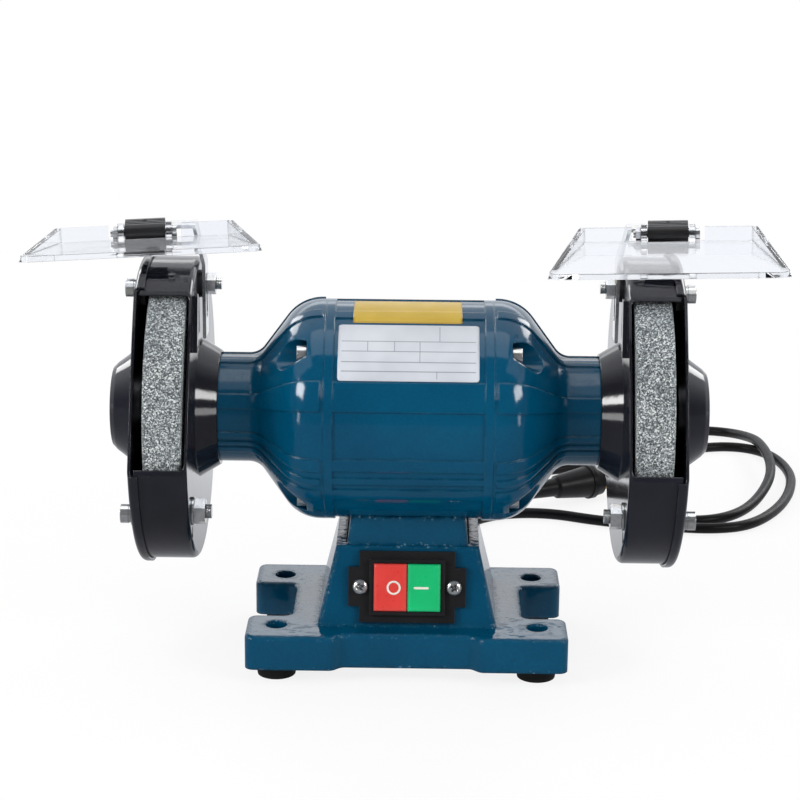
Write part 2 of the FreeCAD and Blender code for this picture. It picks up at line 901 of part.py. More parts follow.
def stator_housing():
    half = dims.housing_half
    inside = half - dims.ring_width
    corners = [
        (-half, housing_bore),
        (half, housing_bore),
        (half, dims.ring_radius),
        (inside, dims.ring_radius),
        (inside, panel_radius),
        (-inside, panel_radius),
        (-inside, dims.ring_radius),
        (-half, dims.ring_radius),
    ]
    tube = revolve("housing_tube", corners, ON_AXIS)
    add_pad(tube, "housing_ribs", "YZ", (-inside, inside), rib_loops())
    bosses = []
    taps = []
    for side in (-1, 1):
        span = (side * half, side * (half - dims.bell_boss_length))
        for number, at in enumerate(on_motor(bell_screw_places()), start=1):
            name = f"{side + 2}_{number}"
            bosses.append(cylinder(f"bell_boss_{name}", "X", dims.bell_boss_diameter / 2, span, at))
            taps.append(cylinder(f"bell_tap_{name}", "X", dims.m4_diameter / 2 + dims.press_gap, span, at))
    floor = (dims.axis_height - dims.ring_radius, dims.axis_height - housing_bore + dims.overcut)
    for sx in (-1, 1):
        taps.append(cylinder(f"housing_tap_{sx + 2}", "Z", dims.m6_diameter / 2 + dims.press_gap, floor,
                             (sx * dims.housing_screw_pitch / 2, 0.0)))
    taps.append(cylinder("wire_hole_housing", "Z", dims.wire_hole_diameter / 2, floor, (0.0, 0.0)))
    node(cut("housing", fuse("housing_blank", tube, *bosses), *taps), "stator_housing")


def housing_screws():
    length = dims.axis_height - housing_bore - ridge - dims.free_gap
    screws = [
        place(screw(f"housing_screw_{sx + 2}", M6_HEAD, (dims.m6_diameter, length)),
              (sx * dims.housing_screw_pitch / 2, 0.0, ridge), facing((0, 0, -1)))
        for sx in (-1, 1)
    ]
    node(group("housing_screw_pair", screws), "housing_screws")


def bell_crown(lift):
    """The outside of a bell from its shoulder to its neck, moved out by a lift."""
    bend = dims.bell_shoulder_radius + lift
    fillet = dims.bell_fillet_radius - lift
    lean = dims.bell_slope
    drop = dims.ring_radius - dims.neck_radius
    rest = (drop - (bend + fillet) * (1.0 - cos(lean))) / sin(lean)
    shoulder = (dims.housing_half + dims.bell_land, dims.ring_radius + lift)
    first = (shoulder[0] + bend * sin(lean), shoulder[1] - bend * (1.0 - cos(lean)))
    second = (first[0] + rest * cos(lean), first[1] - rest * sin(lean))
    tail = (second[0] + fillet * sin(lean), dims.neck_radius + lift)
    return [shoulder + (bend, -1), first, second + (fillet, 1), tail]


def bell_outline():
    half = dims.housing_half
    spigot = housing_bore - dims.running_gap
    return [
        (half, dims.ring_radius),
        *bell_crown(sized(0.0)),
        (dims.neck_end, dims.neck_radius),
        (dims.neck_end, dims.shaft_window_radius),
        (dims.bearing_shoulder, dims.shaft_window_radius),
        (dims.bearing_shoulder, bearing_seat),
        (dims.bell_throat_start, bearing_seat),
        (half + dims.bell_bore_depth, dims.bell_bore_radius),
        (half, dims.bell_bore_radius),
        (half, spigot - dims.spigot_wall),
        (half - dims.spigot_length, spigot - dims.spigot_wall),
        (half - dims.spigot_length, spigot),
        (half, spigot),
    ]


def bell_rib_outline():
    """A raised band along a bell and its neck, rooted a little below their surface."""
    start = dims.housing_half + dims.bell_rib_start
    end = dims.neck_end
    crest = bell_crown(dims.rib_depth)
    shoulder, first, second, tail = bell_crown(-dims.rib_root)
    return [
        (start, dims.ring_radius + dims.rib_depth),
        *crest,
        (end, dims.neck_radius + dims.rib_depth),
        (end, dims.neck_radius - dims.rib_root),
        tail + (second[2], -1),
        second[:2],
        first + (shoulder[2], 1),
        shoulder[:2],
        (start, dims.ring_radius - dims.rib_root),
    ]


def bell_ribs(name, side):
    """Bands in line with those of the housing, front and back."""
    ribs = []
    for number, (middle, width) in enumerate(HOUSING_RIBS, start=1):
        for label, angle in (("front", middle), ("back", 180.0 - middle)):
            around = FreeCAD.Rotation(FreeCAD.Vector(1, 0, 0), 90.0 - angle)
            ribs.append(revolve(f"{name}_bell_rib_{number}_{label}", sided(bell_rib_outline(), side),
                                ON_AXIS, around, width))
    return ribs


def guard_screw_places():
    return on_motor([polar(dims.guard_screw_circle, angle) for angle in GUARD_SCREW_ANGLES])


def end_bells():
    for name, side in SIDES:
        turned = revolve(f"{name}_bell_turned", sided(bell_outline(), side), ON_AXIS)
        blank = fuse(f"{name}_bell_blank", turned, *bell_ribs(name, side))
        cutters = []
        for number, at in enumerate(on_motor(bell_screw_places()), start=1):
            label = f"{name}_bell_{number}"
            cutters.append(cylinder(f"{label}_pocket", "X", dims.bell_pocket_diameter / 2,
                                    (side * bell_seat, side * dims.neck_end), at))
            cutters.append(cylinder(f"{label}_hole", "X", dims.m4_diameter / 2 + dims.hole_gap,
                                    (side * dims.housing_half, side * bell_seat), at))
            cutters.append(cylinder(f"{label}_relief", "X", dims.bell_boss_diameter / 2 + dims.free_gap,
                                    (side * (dims.housing_half - dims.spigot_length),
                                     side * dims.housing_half), at))
        for number, at in enumerate(guard_screw_places(), start=1):
            cutters.append(cylinder(f"{name}_neck_tap_{number}", "X", dims.m3_diameter / 2 + dims.press_gap,
                                    (side * (dims.neck_end - dims.tap_depth), side * dims.neck_end), at))
        node(cut(f"{name}_bell", blank, *cutters), f"{name}_end_bell")


def axial_screws(name, side, head, shank, seat, places):
    """Screws whose heads face outward along the shaft."""
    return [
        place(screw(f"{name}_{side + 2}_{number}", head, shank), (side * seat, y, z), facing((side, 0, 0)))
        for number, (y, z) in enumerate(places, start=1)
    ]


def bell_screws():
    shank = (dims.m4_diameter, dims.bell_pocket_floor + dims.bell_boss_length - dims.screw_proud)
    screws = []
    for side in (-1, 1):
        screws += axial_screws("bell_screw", side, M4_HEAD, shank, bell_seat, on_motor(bell_screw_places()))
    node(group("bell_screws", screws), "end_bell_screws")


# Stator, rotor and bearings


def winding(name, side):
    start = dims.core_length / 2
    end = start + dims.winding_overhang
    inner = dims.winding_inner_radius
    outer = dims.winding_outer_radius
    bend = (outer - inner) / 2
    corners = [
        (start, inner),
        (end - bend, inner, bend, 1),
        (end, inner + bend, bend, 1),
        (end - bend, outer),
        (start, outer),
    ]
    return revolve(name, sided(corners, side), ON_AXIS)


def stator():
    half = dims.core_length / 2
    core = ring("stator_lamination", (-half, half), dims.stator_bore_radius, housing_bore - dims.press_gap)
    node(core, "stator_core")
    node(group("windings", [winding(f"winding_{side + 2}", side) for side in (-1, 1)]), "stator_windings")


def bearing_places():
    """Inboard face of each bearing; the right one leaves room for the preload washer."""
    outer_face = dims.bearing_shoulder - dims.bearing_width
    return {"left": outer_face, "right": outer_face - dims.preload_thickness}


def rotor():
    half = dims.core_length / 2
    core_radius = dims.stator_bore_radius - dims.air_gap
    shaft = dims.rotor_shaft_radius
    node(ring("rotor_lamination", (-half, half), shaft + dims.press_gap, core_radius), "rotor_core")
    rings = [
        ring(f"end_ring_{side + 2}", (half, half + dims.end_ring_length), shaft + dims.press_gap,
             dims.end_ring_radius, side)
        for side in (-1, 1)
    ]
    node(group("end_rings", rings), "rotor_end_rings")
    stop = half + dims.end_ring_length
    wheel_in = dims.wheel_center - dims.wheel_width / 2
    shoulder = wheel_in - dims.blotter_thickness - dims.inner_flange_thickness
    thread_start = dims.wheel_center + dims.wheel_width / 2
    bevel = dims.edge_bevel
    corners = []
    for name, side in SIDES:
        face = bearing_places()[name]
        steps = [
            (dims.thread_end, 0.0),
            (dims.thread_end, dims.thread_diameter / 2 - bevel),
            (dims.thread_end - bevel, dims.thread_diameter / 2),
            (thread_start, dims.thread_diameter / 2),
            (thread_start, arbor_radius),
            (shoulder, arbor_radius),
            (shoulder, dims.bearing_bore / 2),
            (face, dims.bearing_bore / 2),
            (face, dims.shaft_step_radius),
            (stop, dims.shaft_step_radius),
            (stop, shaft),
        ]
        corners += sided(steps if side < 0 else reversed(steps), side)
    node(revolve("shaft", corners, ON_AXIS), "rotor_shaft")


def race(name, groove, x, inner, outer, side):
    tyre = doc.addObject("Part::Torus", name + "_groove")
    bind(tyre, "Radius1", dims.ball_circle / 2)
    bind(tyre, "Radius2", groove)
    place(tyre, (side * (x[0] + x[1]) / 2, 0.0, dims.axis_height), TURNS["X"])
    return cut(name, ring(name + "_blank", x, inner, outer, side), tyre)


def bearings():
    groove = dims.ball_diameter / 2 + dims.running_gap
    orbit = dims.ball_circle / 2
    outer_rings = []
    inner_rings = []
    balls = []
    for name, side in SIDES:
        face = bearing_places()[name]
        x = (face, face + dims.bearing_width)
        outer_rings.append(race(f"{name}_outer_race", groove, x, orbit + dims.race_shoulder,
                                dims.bearing_outside / 2, side))
        inner_rings.append(race(f"{name}_inner_race", groove, x, dims.bearing_bore / 2 + dims.press_gap,
                                orbit - dims.race_shoulder, side))
        for number in range(BALL_COUNT):
            ball = doc.addObject("Part::Sphere", f"{name}_ball_{number + 1}")
            bind(ball, "Radius", dims.ball_diameter / 2)
            y, z = polar(orbit, 360.0 * number / BALL_COUNT)
            balls.append(place(ball, (side * (x[0] + x[1]) / 2, y, z + dims.axis_height)))
    node(group("outer_races", outer_rings), "bearing_outer_rings")
    node(group("inner_races", inner_rings), "bearing_inner_rings")
    node(group("balls", balls), "bearing_balls")
    washer = (dims.bearing_shoulder - dims.preload_thickness, dims.bearing_shoulder)
    node(ring("preload_ring", washer, dims.ball_circle / 2 + dims.race_shoulder,
              dims.bearing_outside / 2 - dims.hole_gap), "preload_washer")


def wheels():
    bore = arbor_radius + dims.running_gap
    rim = dims.wheel_diameter / 2
    bevel = dims.edge_bevel
    inner = dims.wheel_center - dims.wheel_width / 2
    outer = dims.wheel_center + dims.wheel_width / 2
    paper = dims.blotter_thickness
    blotters = []
    for name, side in SIDES:
        wheel = [
            (inner, bore),
            (outer, bore),
            (outer, rim - bevel),
            (outer - bevel, rim),
            (inner + bevel, rim),
            (inner, rim - bevel),
        ]
        node(revolve(f"{name}_stone", sided(wheel, side), ON_AXIS), f"{name}_wheel")
        for label, x in (("in", (inner - paper, inner)), ("out", (outer, outer + paper))):
            blotters.append(ring(f"{name}_blotter_{label}", x, bore, dims.blotter_diameter / 2, side))
        flange(f"{name}_inner_flange", inner - paper, -dims.inner_flange_thickness, side)
        flange(f"{name}_outer_flange", outer + paper, dims.outer_flange_thickness, side)
        nut_seat = outer + paper + dims.outer_flange_thickness
        nut = (side * nut_seat, side * (nut_seat + dims.wheel_nut_height))
        blank = hexagon(f"{name}_nut_blank", "X", dims.wheel_nut_width, nut, (0.0, dims.axis_height))
        thread = cylinder(f"{name}_nut_thread", "X", dims.thread_diameter / 2 + dims.press_gap, nut,
                          (0.0, dims.axis_height))
        node(cut(f"{name}_nut", blank, thread), f"{name}_wheel_nut")
    node(group("blotters", blotters), "wheel_blotters")


def flange(name, face, thickness, side):
    """A clamping flange, relieved in the middle of the face that grips the wheel."""
    bore = arbor_radius + dims.running_gap
    rim = dims.flange_diameter / 2
    relief = dims.flange_relief if thickness.value > 0 else -dims.flange_relief
    corners = [
        (face + thickness, bore),
        (face + thickness, rim),
        (face, rim),
        (face, rim - dims.flange_rim),
        (face + relief, rim - dims.flange_rim),
        (face + relief, bore),
    ]
    node(revolve(name + "_turned", sided(corners, side), ON_AXIS), name)


# Wheel guards


def opening(name, side):
    """The space in front of the wheel that the guard leaves open."""
    top = dims.open_top_angle
    bottom = dims.open_bottom_angle
    radius = dims.guard_radius
    far = dims.wheel_diameter * 1.3
    corners = [
        polar(radius, top) + (dims.open_edge_radius, 1),
        polar(radius, bottom),
        polar(far, bottom),
        polar(far * 1.5, (top + bottom) / 2),
        polar(far, top),
    ]
    span = (side * (dims.neck_end - dims.overcut), side * (dims.dome_end + dims.overcut))
    return place(pad(name, "YZ", span, [corners]), ON_AXIS)


def shell_outline():
    sheet_gauge = dims.sheet
    plate = dims.guard_plate
    bend = dims.guard_corner
    seat = dims.neck_end
    radius = dims.guard_radius
    return [
        (seat, dims.guard_hub_radius),
        (seat, dims.boss_small_radius),
        (plate, dims.boss_large_radius),
        (plate, radius - bend, bend, -1),
        (plate + bend, radius),
        (dims.guard_rim, radius),
        (dims.guard_rim, radius - sheet_gauge),
        (plate + bend, radius - sheet_gauge, bend - sheet_gauge, 1),
        (plate + sheet_gauge, radius - bend),
        (plate + sheet_gauge, dims.boss_large_radius - sheet_gauge / 2),
        (seat + sheet_gauge, dims.boss_small_radius - sheet_gauge / 2),
        (seat + sheet_gauge, dims.guard_hub_radius),
    ]


def cover_screw_places():
    return on_motor([polar(dims.cover_screw_circle, angle) for angle in COVER_SCREW_ANGLES])


def guard_tab(name, side, angle):
    """A tab welded inside the band, which takes one cover screw."""
    cover_inside = dims.cover_face - dims.sheet
    span = (side * (cover_inside - dims.tab_thickness), side * cover_inside)
    outer = dims.guard_radius - dims.sheet * 0.75
    half = dims.tab_width / 2
    radial = [(outer - dims.tab_reach, -half), (outer, -half), (outer, half), (outer - dims.tab_reach, half)]
    corners = []
    for reach, across in radial:
        y, z = polar(reach, angle)
        corners.append((y + across * sin(angle), z + across * cos(angle)))
    return place(pad(name, "YZ", span, [corners]), ON_AXIS)


def hem(name, side):
    """The folded hem that stiffens the inner front edge under the top lip."""
    top = dims.open_top_angle
    start_y, start_z = polar(dims.guard_radius - dims.guard_corner, top)
    foot_y = start_y - (start_z - dims.hem_low) * tan(dims.hem_lean)
    corners = [
        (start_y, start_z),
        (foot_y, dims.hem_low),
        (foot_y + dims.hem_width, dims.hem_low),
        (start_y + dims.hem_width, start_z),
    ]
    plate = dims.guard_plate
    span = (side * (plate - dims.hem_height), side * (plate + dims.sheet / 2))
    return place(pad(name, "YZ", span, [corners]), ON_AXIS)


def stud_end(kind):
    """How far towards the motor each stud reaches from the guard plate."""
    return clamped_under_nut(kind) + nut_height(kind) + dims.stud_proud


def clamped_under_nut(kind):
    """The upper stud holds a spacer and the shield bracket, the lower one a plain washer."""
    return dims.spacer_thickness + dims.bracket_thickness if kind == "upper" else dims.washer_thickness


def stud(kind):
    return (
        getattr(dims, f"{kind}_stud_diameter"),
        getattr(dims, f"{kind}_stud_y"),
        getattr(dims, f"{kind}_stud_z") + dims.axis_height,
    )


def nut_height(kind):
    return getattr(dims, f"{kind}_stud_diameter") * NUT_HEIGHT


def guards():
    for name, side in SIDES:
        front = opening(f"{name}_opening", side)
        blank = revolve(f"{name}_shell_blank", sided(shell_outline(), side), ON_AXIS)
        pieces = [cut(f"{name}_shell_open", blank, front)]
        holes = []
        cover_inside = dims.cover_face - dims.sheet
        for number, angle in enumerate(COVER_SCREW_ANGLES, start=1):
            pieces.append(guard_tab(f"{name}_tab_{number}", side, angle))
            at = cover_screw_places()[number - 1]
            holes.append(cylinder(f"{name}_tab_tap_{number}", "X", dims.m4_diameter / 2 + dims.press_gap,
                                  (side * (cover_inside - dims.tab_thickness), side * cover_inside), at))
        pieces.append(hem(f"{name}_hem", side))
        plate = (side * dims.guard_plate, side * (dims.guard_plate + dims.sheet))
        for kind in ("upper", "lower"):
            diameter, y, z = stud(kind)
            holes.append(cylinder(f"{name}_{kind}_stud_hole", "X", diameter / 2 + dims.press_gap, plate,
                                  (y, z)))
        for number, at in enumerate(guard_screw_places(), start=1):
            holes.append(cylinder(f"{name}_boss_hole_{number}", "X", dims.m3_diameter / 2 + dims.hole_gap,
                                  (side * dims.neck_end, side * (dims.neck_end + dims.sheet)), at))
        diameter, y, z = stud("lower")
        low = z - dims.stud_slot_drop
        holes.append(box(
            f"{name}_plate_slot",
            plate,
            (y - dims.stud_slot_width / 2, y + dims.stud_slot_width / 2),
            (low - dims.stud_slot_height / 2, low + dims.stud_slot_height / 2),
        ))
        node(cut(f"{name}_shell", fuse(f"{name}_shell_welded", *pieces), *holes), f"{name}_guard_shell")
        guard_cover(name, side)


def cover_outline():
    gauge = dims.sheet
    face = dims.cover_face
    inside = face - gauge
    bend = dims.guard_corner
    lip = dims.guard_radius + dims.cover_gap
    outer = lip + gauge
    end = dims.dome_end
    small = dims.dome_small_radius
    large = dims.dome_large_radius
    soft = dims.dome_round
    return [
        (end, 0.0),
        (end, small - soft),
        (end - soft, small),
        (face, large),
        (face, outer - bend, bend, 1),
        (face - bend, outer),
        (face - dims.cover_lip, outer),
        (face - dims.cover_lip, lip),
        (face - bend, lip, bend - gauge, -1),
        (inside, outer - bend),
        (inside, large - gauge / 2),
        (end - soft - gauge, small - gauge / 2),
        (end - gauge, small - soft - gauge / 2),
        (end - gauge, 0.0),
    ]


def guard_cover(name, side):
    blank = revolve(f"{name}_cover_blank", sided(cover_outline(), side), ON_AXIS)
    front = opening(f"{name}_cover_opening", side)
    holes = [
        cylinder(f"{name}_cover_hole_{number}", "X", dims.m4_diameter / 2 + dims.hole_gap,
                 (side * (dims.cover_face - dims.sheet), side * dims.cover_face), at)
        for number, at in enumerate(cover_screw_places(), start=1)
    ]
    node(cut(f"{name}_cover", blank, front, *holes), f"{name}_guard_cover")


def guard_fasteners():
    cover_screws = []
    fixing_screws = []
    studs = []
    nuts = []
    washers = []
    spacers = []
    cover_washers = []
    stack = dims.flat_washer_thickness + dims.spring_washer_thickness
    cover_seat = dims.cover_face + stack
    cover_shank = (dims.m4_diameter, stack + dims.sheet + dims.tab_thickness + dims.screw_proud)
    fixing_shank = (dims.m3_diameter, dims.sheet + dims.fixing_screw_grip)
    for name, side in SIDES:
        cover_screws += axial_screws("cover_screw", side, COVER_HEAD, cover_shank, cover_seat,
                                     cover_screw_places())
        fixing_screws += axial_screws("fixing_screw", side, SMALL_HEAD, fixing_shank,
                                      dims.neck_end + dims.sheet, guard_screw_places())
        face = dims.guard_plate
        diameter, y, z = stud("upper")
        spacers.append(washer(f"{name}_spacer", side, (face - dims.spacer_thickness, face),
                              dims.spacer_diameter, diameter, (y, z)))
        diameter, y, z = stud("lower")
        washers.append(washer(f"{name}_stud_washer", side, (face - dims.washer_thickness, face),
                              diameter * 2.0, diameter, (y, z)))
        for number, at in enumerate(cover_screw_places(), start=1):
            label = f"{name}_cover_washer_{number}"
            step = dims.cover_face + dims.flat_washer_thickness
            cover_washers.append(washer(label, side, (dims.cover_face, step),
                                        dims.flat_washer_diameter, dims.m4_diameter, at))
            cover_washers.append(washer(label + "_spring", side, (step, cover_seat),
                                        dims.spring_washer_diameter, dims.m4_diameter, at))
        for kind in ("upper", "lower"):
            diameter, y, z = stud(kind)
            top = face - clamped_under_nut(kind)
            nut = (side * top, side * (top - nut_height(kind)))
            blank = hexagon(f"{name}_{kind}_nut_blank", "X", diameter * NUT_ACROSS, nut, (y, z))
            thread = cylinder(f"{name}_{kind}_nut_thread", "X", diameter / 2 + dims.press_gap, nut, (y, z))
            nuts.append(cut(f"{name}_{kind}_nut", blank, thread))
            span = (side * (face - stud_end(kind)), side * (face + dims.sheet))
            studs.append(cylinder(f"{name}_{kind}_stud", "X", diameter / 2, span, (y, z)))
    node(group("cover_screw_set", cover_screws), "guard_cover_screws")
    node(group("fixing_screw_set", fixing_screws), "guard_fixing_screws")
    node(group("stud_set", studs), "guard_studs")
    node(group("stud_nut_set", nuts), "guard_stud_nuts")
    node(group("stud_washer_set", washers), "guard_stud_washers")
    node(group("spacer_set", spacers), "bracket_spacers")
    node(group("cover_washer_set", cover_washers), "guard_cover_washers")


def washer(name, side, x, outer, bore, at):
    span = (side * x[0], side * x[1])
    blank = cylinder(name + "_blank", "X", outer / 2, span, at)
    return cut(name, blank, cylinder(name + "_bore", "X", bore / 2 + dims.hole_gap / 2, span, at))


# Eye shields


def hinge_place(name):
    """Distance of a hinge from the middle of the motor, and its height above the motor axis."""
    return getattr(dims, f"{name}_hinge_x"), getattr(dims, f"{name}_hinge_z")


def hinge_frame(name, side, tilted):
    """Place of a hinge: X along its axis, Y back and Z up."""
    roll = side * getattr(dims, f"{name}_roll").value
    yaw = getattr(dims, f"{name}_yaw").value
    tilt = getattr(dims, f"{name}_tilt").value if tilted else 0.0
    rotation = (
        FreeCAD.Rotation(FreeCAD.Vector(0, 0, 1), yaw)
        * FreeCAD.Rotation(FreeCAD.Vector(0, 1, 0), roll)
        * FreeCAD.Rotation(FreeCAD.Vector(1, 0, 0), -tilt)
    )
    x, z = hinge_place(name)
    at = (side * x, dims.hinge_y, z + dims.axis_height)
    return at, rotation


def strip(name, start, end, y, thickness):
    """A straight stretch of bent strip in the X Z plane, with round ends."""
    run = root((end[0] - start[0]) * (end[0] - start[0]) + (end[1] - start[1]) * (end[1] - start[1]))
    rise = math.degrees(math.atan2(end[1].value - start[1].value, end[0].value - start[0].value))
    flat = pad(name, "XZ", y, [[
        (0.0, -thickness / 2),
        (run, -thickness / 2, thickness / 2, 1),
        (run + thickness / 2, 0.0, thickness / 2, 1),
        (run, thickness / 2),
        (0.0, thickness / 2, thickness / 2, 1),
        (-thickness / 2, 0.0, thickness / 2, 1),
    ]])
    return place(flat, (start[0], 0.0, start[1]), FreeCAD.Rotation(FreeCAD.Vector(0, -1, 0), rise))


def bracket(name, side):
    """Slotted strip on the guard stud that leans out and bends over to carry the hinge block."""
    axis = dims.axis_height
    gauge = dims.bracket_thickness
    roll = getattr(dims, f"{name}_roll")
    middle = dims.guard_plate - dims.spacer_thickness - gauge / 2
    hinge_x, hinge_z = hinge_place(name)
    tab = hinge_z + dims.tab_rise
    knee = (side * middle, axis + dims.bracket_knee)
    bend = (side * dims.bracket_lean, axis + tab + (hinge_x - dims.bracket_lean) * tan(roll))
    end = (
        side * (hinge_x + dims.bracket_tab_end),
        axis + tab - dims.bracket_tab_end * tan(roll),
    )
    foot = (side * middle, axis + dims.bracket_low)
    front = dims.hinge_y + dims.tab_setback
    y = (front, front + dims.bracket_width)
    pieces = [
        strip(f"{name}_bracket_low", foot, knee, y, gauge),
        strip(f"{name}_bracket_lean", knee, bend, y, gauge),
        strip(f"{name}_bracket_tab", bend, end, y, gauge),
    ]
    diameter, stud_y, stud_z = stud("upper")
    half = diameter / 2 + dims.hole_gap
    across = (side * (middle - gauge), side * (middle + gauge))
    slot_low = stud_z - dims.bracket_slot
    slot = [
        box(f"{name}_slot_mid", across, (stud_y - half, stud_y + half), (slot_low, stud_z)),
        cylinder(f"{name}_slot_top", "X", half, across, (stud_y, stud_z)),
        cylinder(f"{name}_slot_low", "X", half, across, (stud_y, slot_low)),
    ]
    screw_at = block_screw_place()
    at, rotation = hinge_frame(name, side, False)
    bore = cylinder(f"{name}_tab_bore", "Z", dims.m3_diameter / 2 + dims.hole_gap,
                    (-dims.block_radius, dims.block_radius), screw_at)
    hole = place(group(f"{name}_tab_hole", [bore]), at, rotation)
    node(cut(f"{name}_bracket", fuse(f"{name}_bracket_blank", *pieces), *slot, hole),
         f"{name}_shield_bracket")


def block_screw_place():
    return 0.0, (dims.block_slot_front + dims.block_depth) / 2


def hinge_block(name, side):
    """Ribbed block that grips the bracket tab and carries the hinge screw."""
    half = dims.block_width / 2
    radius = dims.block_radius
    x = (-half, half)
    nose = cylinder(f"{name}_block_nose", "X", radius, x, (0.0, 0.0))
    body = box(f"{name}_block_body", x, (0.0, dims.block_depth), (-radius, radius))
    slot_half = dims.bracket_thickness / 2 + dims.hole_gap
    cutters = [
        box(f"{name}_block_slot", x, (dims.block_slot_front, dims.block_depth),
            (dims.tab_rise - slot_half, dims.tab_rise + slot_half)),
        cylinder(f"{name}_block_bore", "X", dims.hinge_screw_diameter / 2 + dims.running_gap, x, (0.0, 0.0)),
        cylinder(f"{name}_block_screw_hole", "Z", dims.m3_diameter / 2 + dims.press_gap, (-radius, radius),
                 block_screw_place()),
    ]
    grips = 3
    for number in range(grips):
        start = dims.grip_width * (2 * number) + dims.grip_width / 2
        for face in (-1, 1):
            cutters.append(box(f"{name}_grip_{number}_{face + 2}", x, (start, start + dims.grip_width),
                               (face * (radius - dims.grip_depth), face * radius)))
    block = cut(f"{name}_block", fuse(f"{name}_block_blank", nose, body), *cutters)
    at, rotation = hinge_frame(name, side, False)
    node(place(block, at, rotation), f"{name}_hinge_block")
    fastener = screw(f"{name}_block_bolt", LOW_HEAD, (dims.m3_diameter, radius * 2 - dims.screw_proud))
    place(fastener, block_screw_place() + (-radius,), facing((0, 0, -1)))
    node(place(group(f"{name}_block_fastener", [fastener]), at, rotation), f"{name}_block_screw")


def shield_plate(name):
    """Clear trapezoid with a rim on its far and side edges; hinge axis along X at the origin."""
    far = -dims.shield_set
    near = far - dims.shield_depth
    far_half = dims.shield_far_width / 2
    near_half = dims.shield_near_width / 2
    low = -dims.shield_drop - dims.shield_thickness
    top = -dims.shield_drop
    wall = dims.shield_rim_wall
    past = dims.overcut
    outline = [(-far_half, far), (-near_half, near), (near_half, near), (far_half, far)]
    plate = pad(f"{name}_shield_plate", "XY", (low, top), [outline])
    corner = [(-near_half.value, near.value), (near_half.value, near.value)]
    plate = rounded(f"{name}_shield_corners", plate, dims.shield_corner, near_corner(corner))
    sides = [
        (-far_half, far),
        (-near_half, near),
        (-near_half + wall, near),
        (-far_half + wall, far - wall),
        (far_half - wall, far - wall),
        (near_half - wall, near),
        (near_half, near),
        (far_half, far),
    ]
    rim = pad(f"{name}_shield_rim", "XY", (low, top + dims.shield_rim), [sides])
    wedge = [
        (near - past, low - past),
        (near + dims.shield_corner * 1.6, top),
        (far - wall, top + dims.shield_rim),
        (far - wall, top + dims.shield_rim + past),
        (near - past, top + dims.shield_rim + past),
    ]
    span = (-near_half - past, near_half + past)
    return fuse(f"{name}_shield_tray", plate, cut(f"{name}_shield_low_rim", rim,
                pad(f"{name}_shield_wedge", "YZ", span, [wedge])))


def near_corner(points):
    def chosen(edge):
        start = edge.Vertexes[0].Point
        return upright(edge) and any(math.hypot(start.x - x, start.y - y) < 1e-4 for x, y in points)
    return chosen


def eye_shield(name, side):
    half = dims.block_width / 2 + dims.free_gap
    lug = (half, half + dims.lug_thickness)
    low = -dims.shield_drop - dims.shield_thickness
    far = -dims.shield_set
    past = dims.overcut
    notch = box(f"{name}_shield_notch", (-half, half), (-dims.block_radius - past, past),
                (low - past, dims.shield_rim))
    relief = box(f"{name}_shield_relief", (-lug[1] - dims.lug_radius, lug[1] + dims.lug_radius),
                 (far - dims.shield_rim_wall, past), (-dims.shield_drop, dims.shield_rim))
    pieces = [cut(f"{name}_shield_notched", shield_plate(name), notch, relief)]
    for sx in (-1, 1):
        x = (sx * lug[0], sx * lug[1])
        pieces.append(cylinder(f"{name}_lug_eye_{sx + 2}", "X", dims.lug_radius, x, (0.0, 0.0)))
        pieces.append(box(f"{name}_lug_foot_{sx + 2}", x,
                          (far - dims.shield_rim_wall * 2, dims.lug_radius * 0.6), (low, 0.0)))
    bore = cylinder(f"{name}_shield_bore", "X", dims.hinge_screw_diameter / 2 + dims.running_gap,
                    (-lug[1], lug[1]), (0.0, 0.0))
    shield = cut(f"{name}_shield", fuse(f"{name}_shield_blank", *pieces), bore)
    at, rotation = hinge_frame(name, side, True)
    node(place(shield, at, rotation), f"{name}_eye_shield")
    thread = dims.hinge_screw_diameter
    reach = lug[1]
    head = (reach, reach + dims.hinge_head_height)
    nut = (-reach - dims.hinge_nut_height, -reach)
    shank = (nut[0] - dims.screw_proud, reach)
    bolt = fuse(
        f"{name}_hinge_bolt",
        cylinder(f"{name}_hinge_shank", "X", thread / 2, shank, (0.0, 0.0)),
        cylinder(f"{name}_hinge_head", "X", thread * 0.85, head, (0.0, 0.0)),
        hexagon(f"{name}_hinge_nut", "X", thread * NUT_ACROSS, nut, (0.0, 0.0)),
    )
    node(place(bolt, at, rotation), f"{name}_hinge_screw")


# Switch


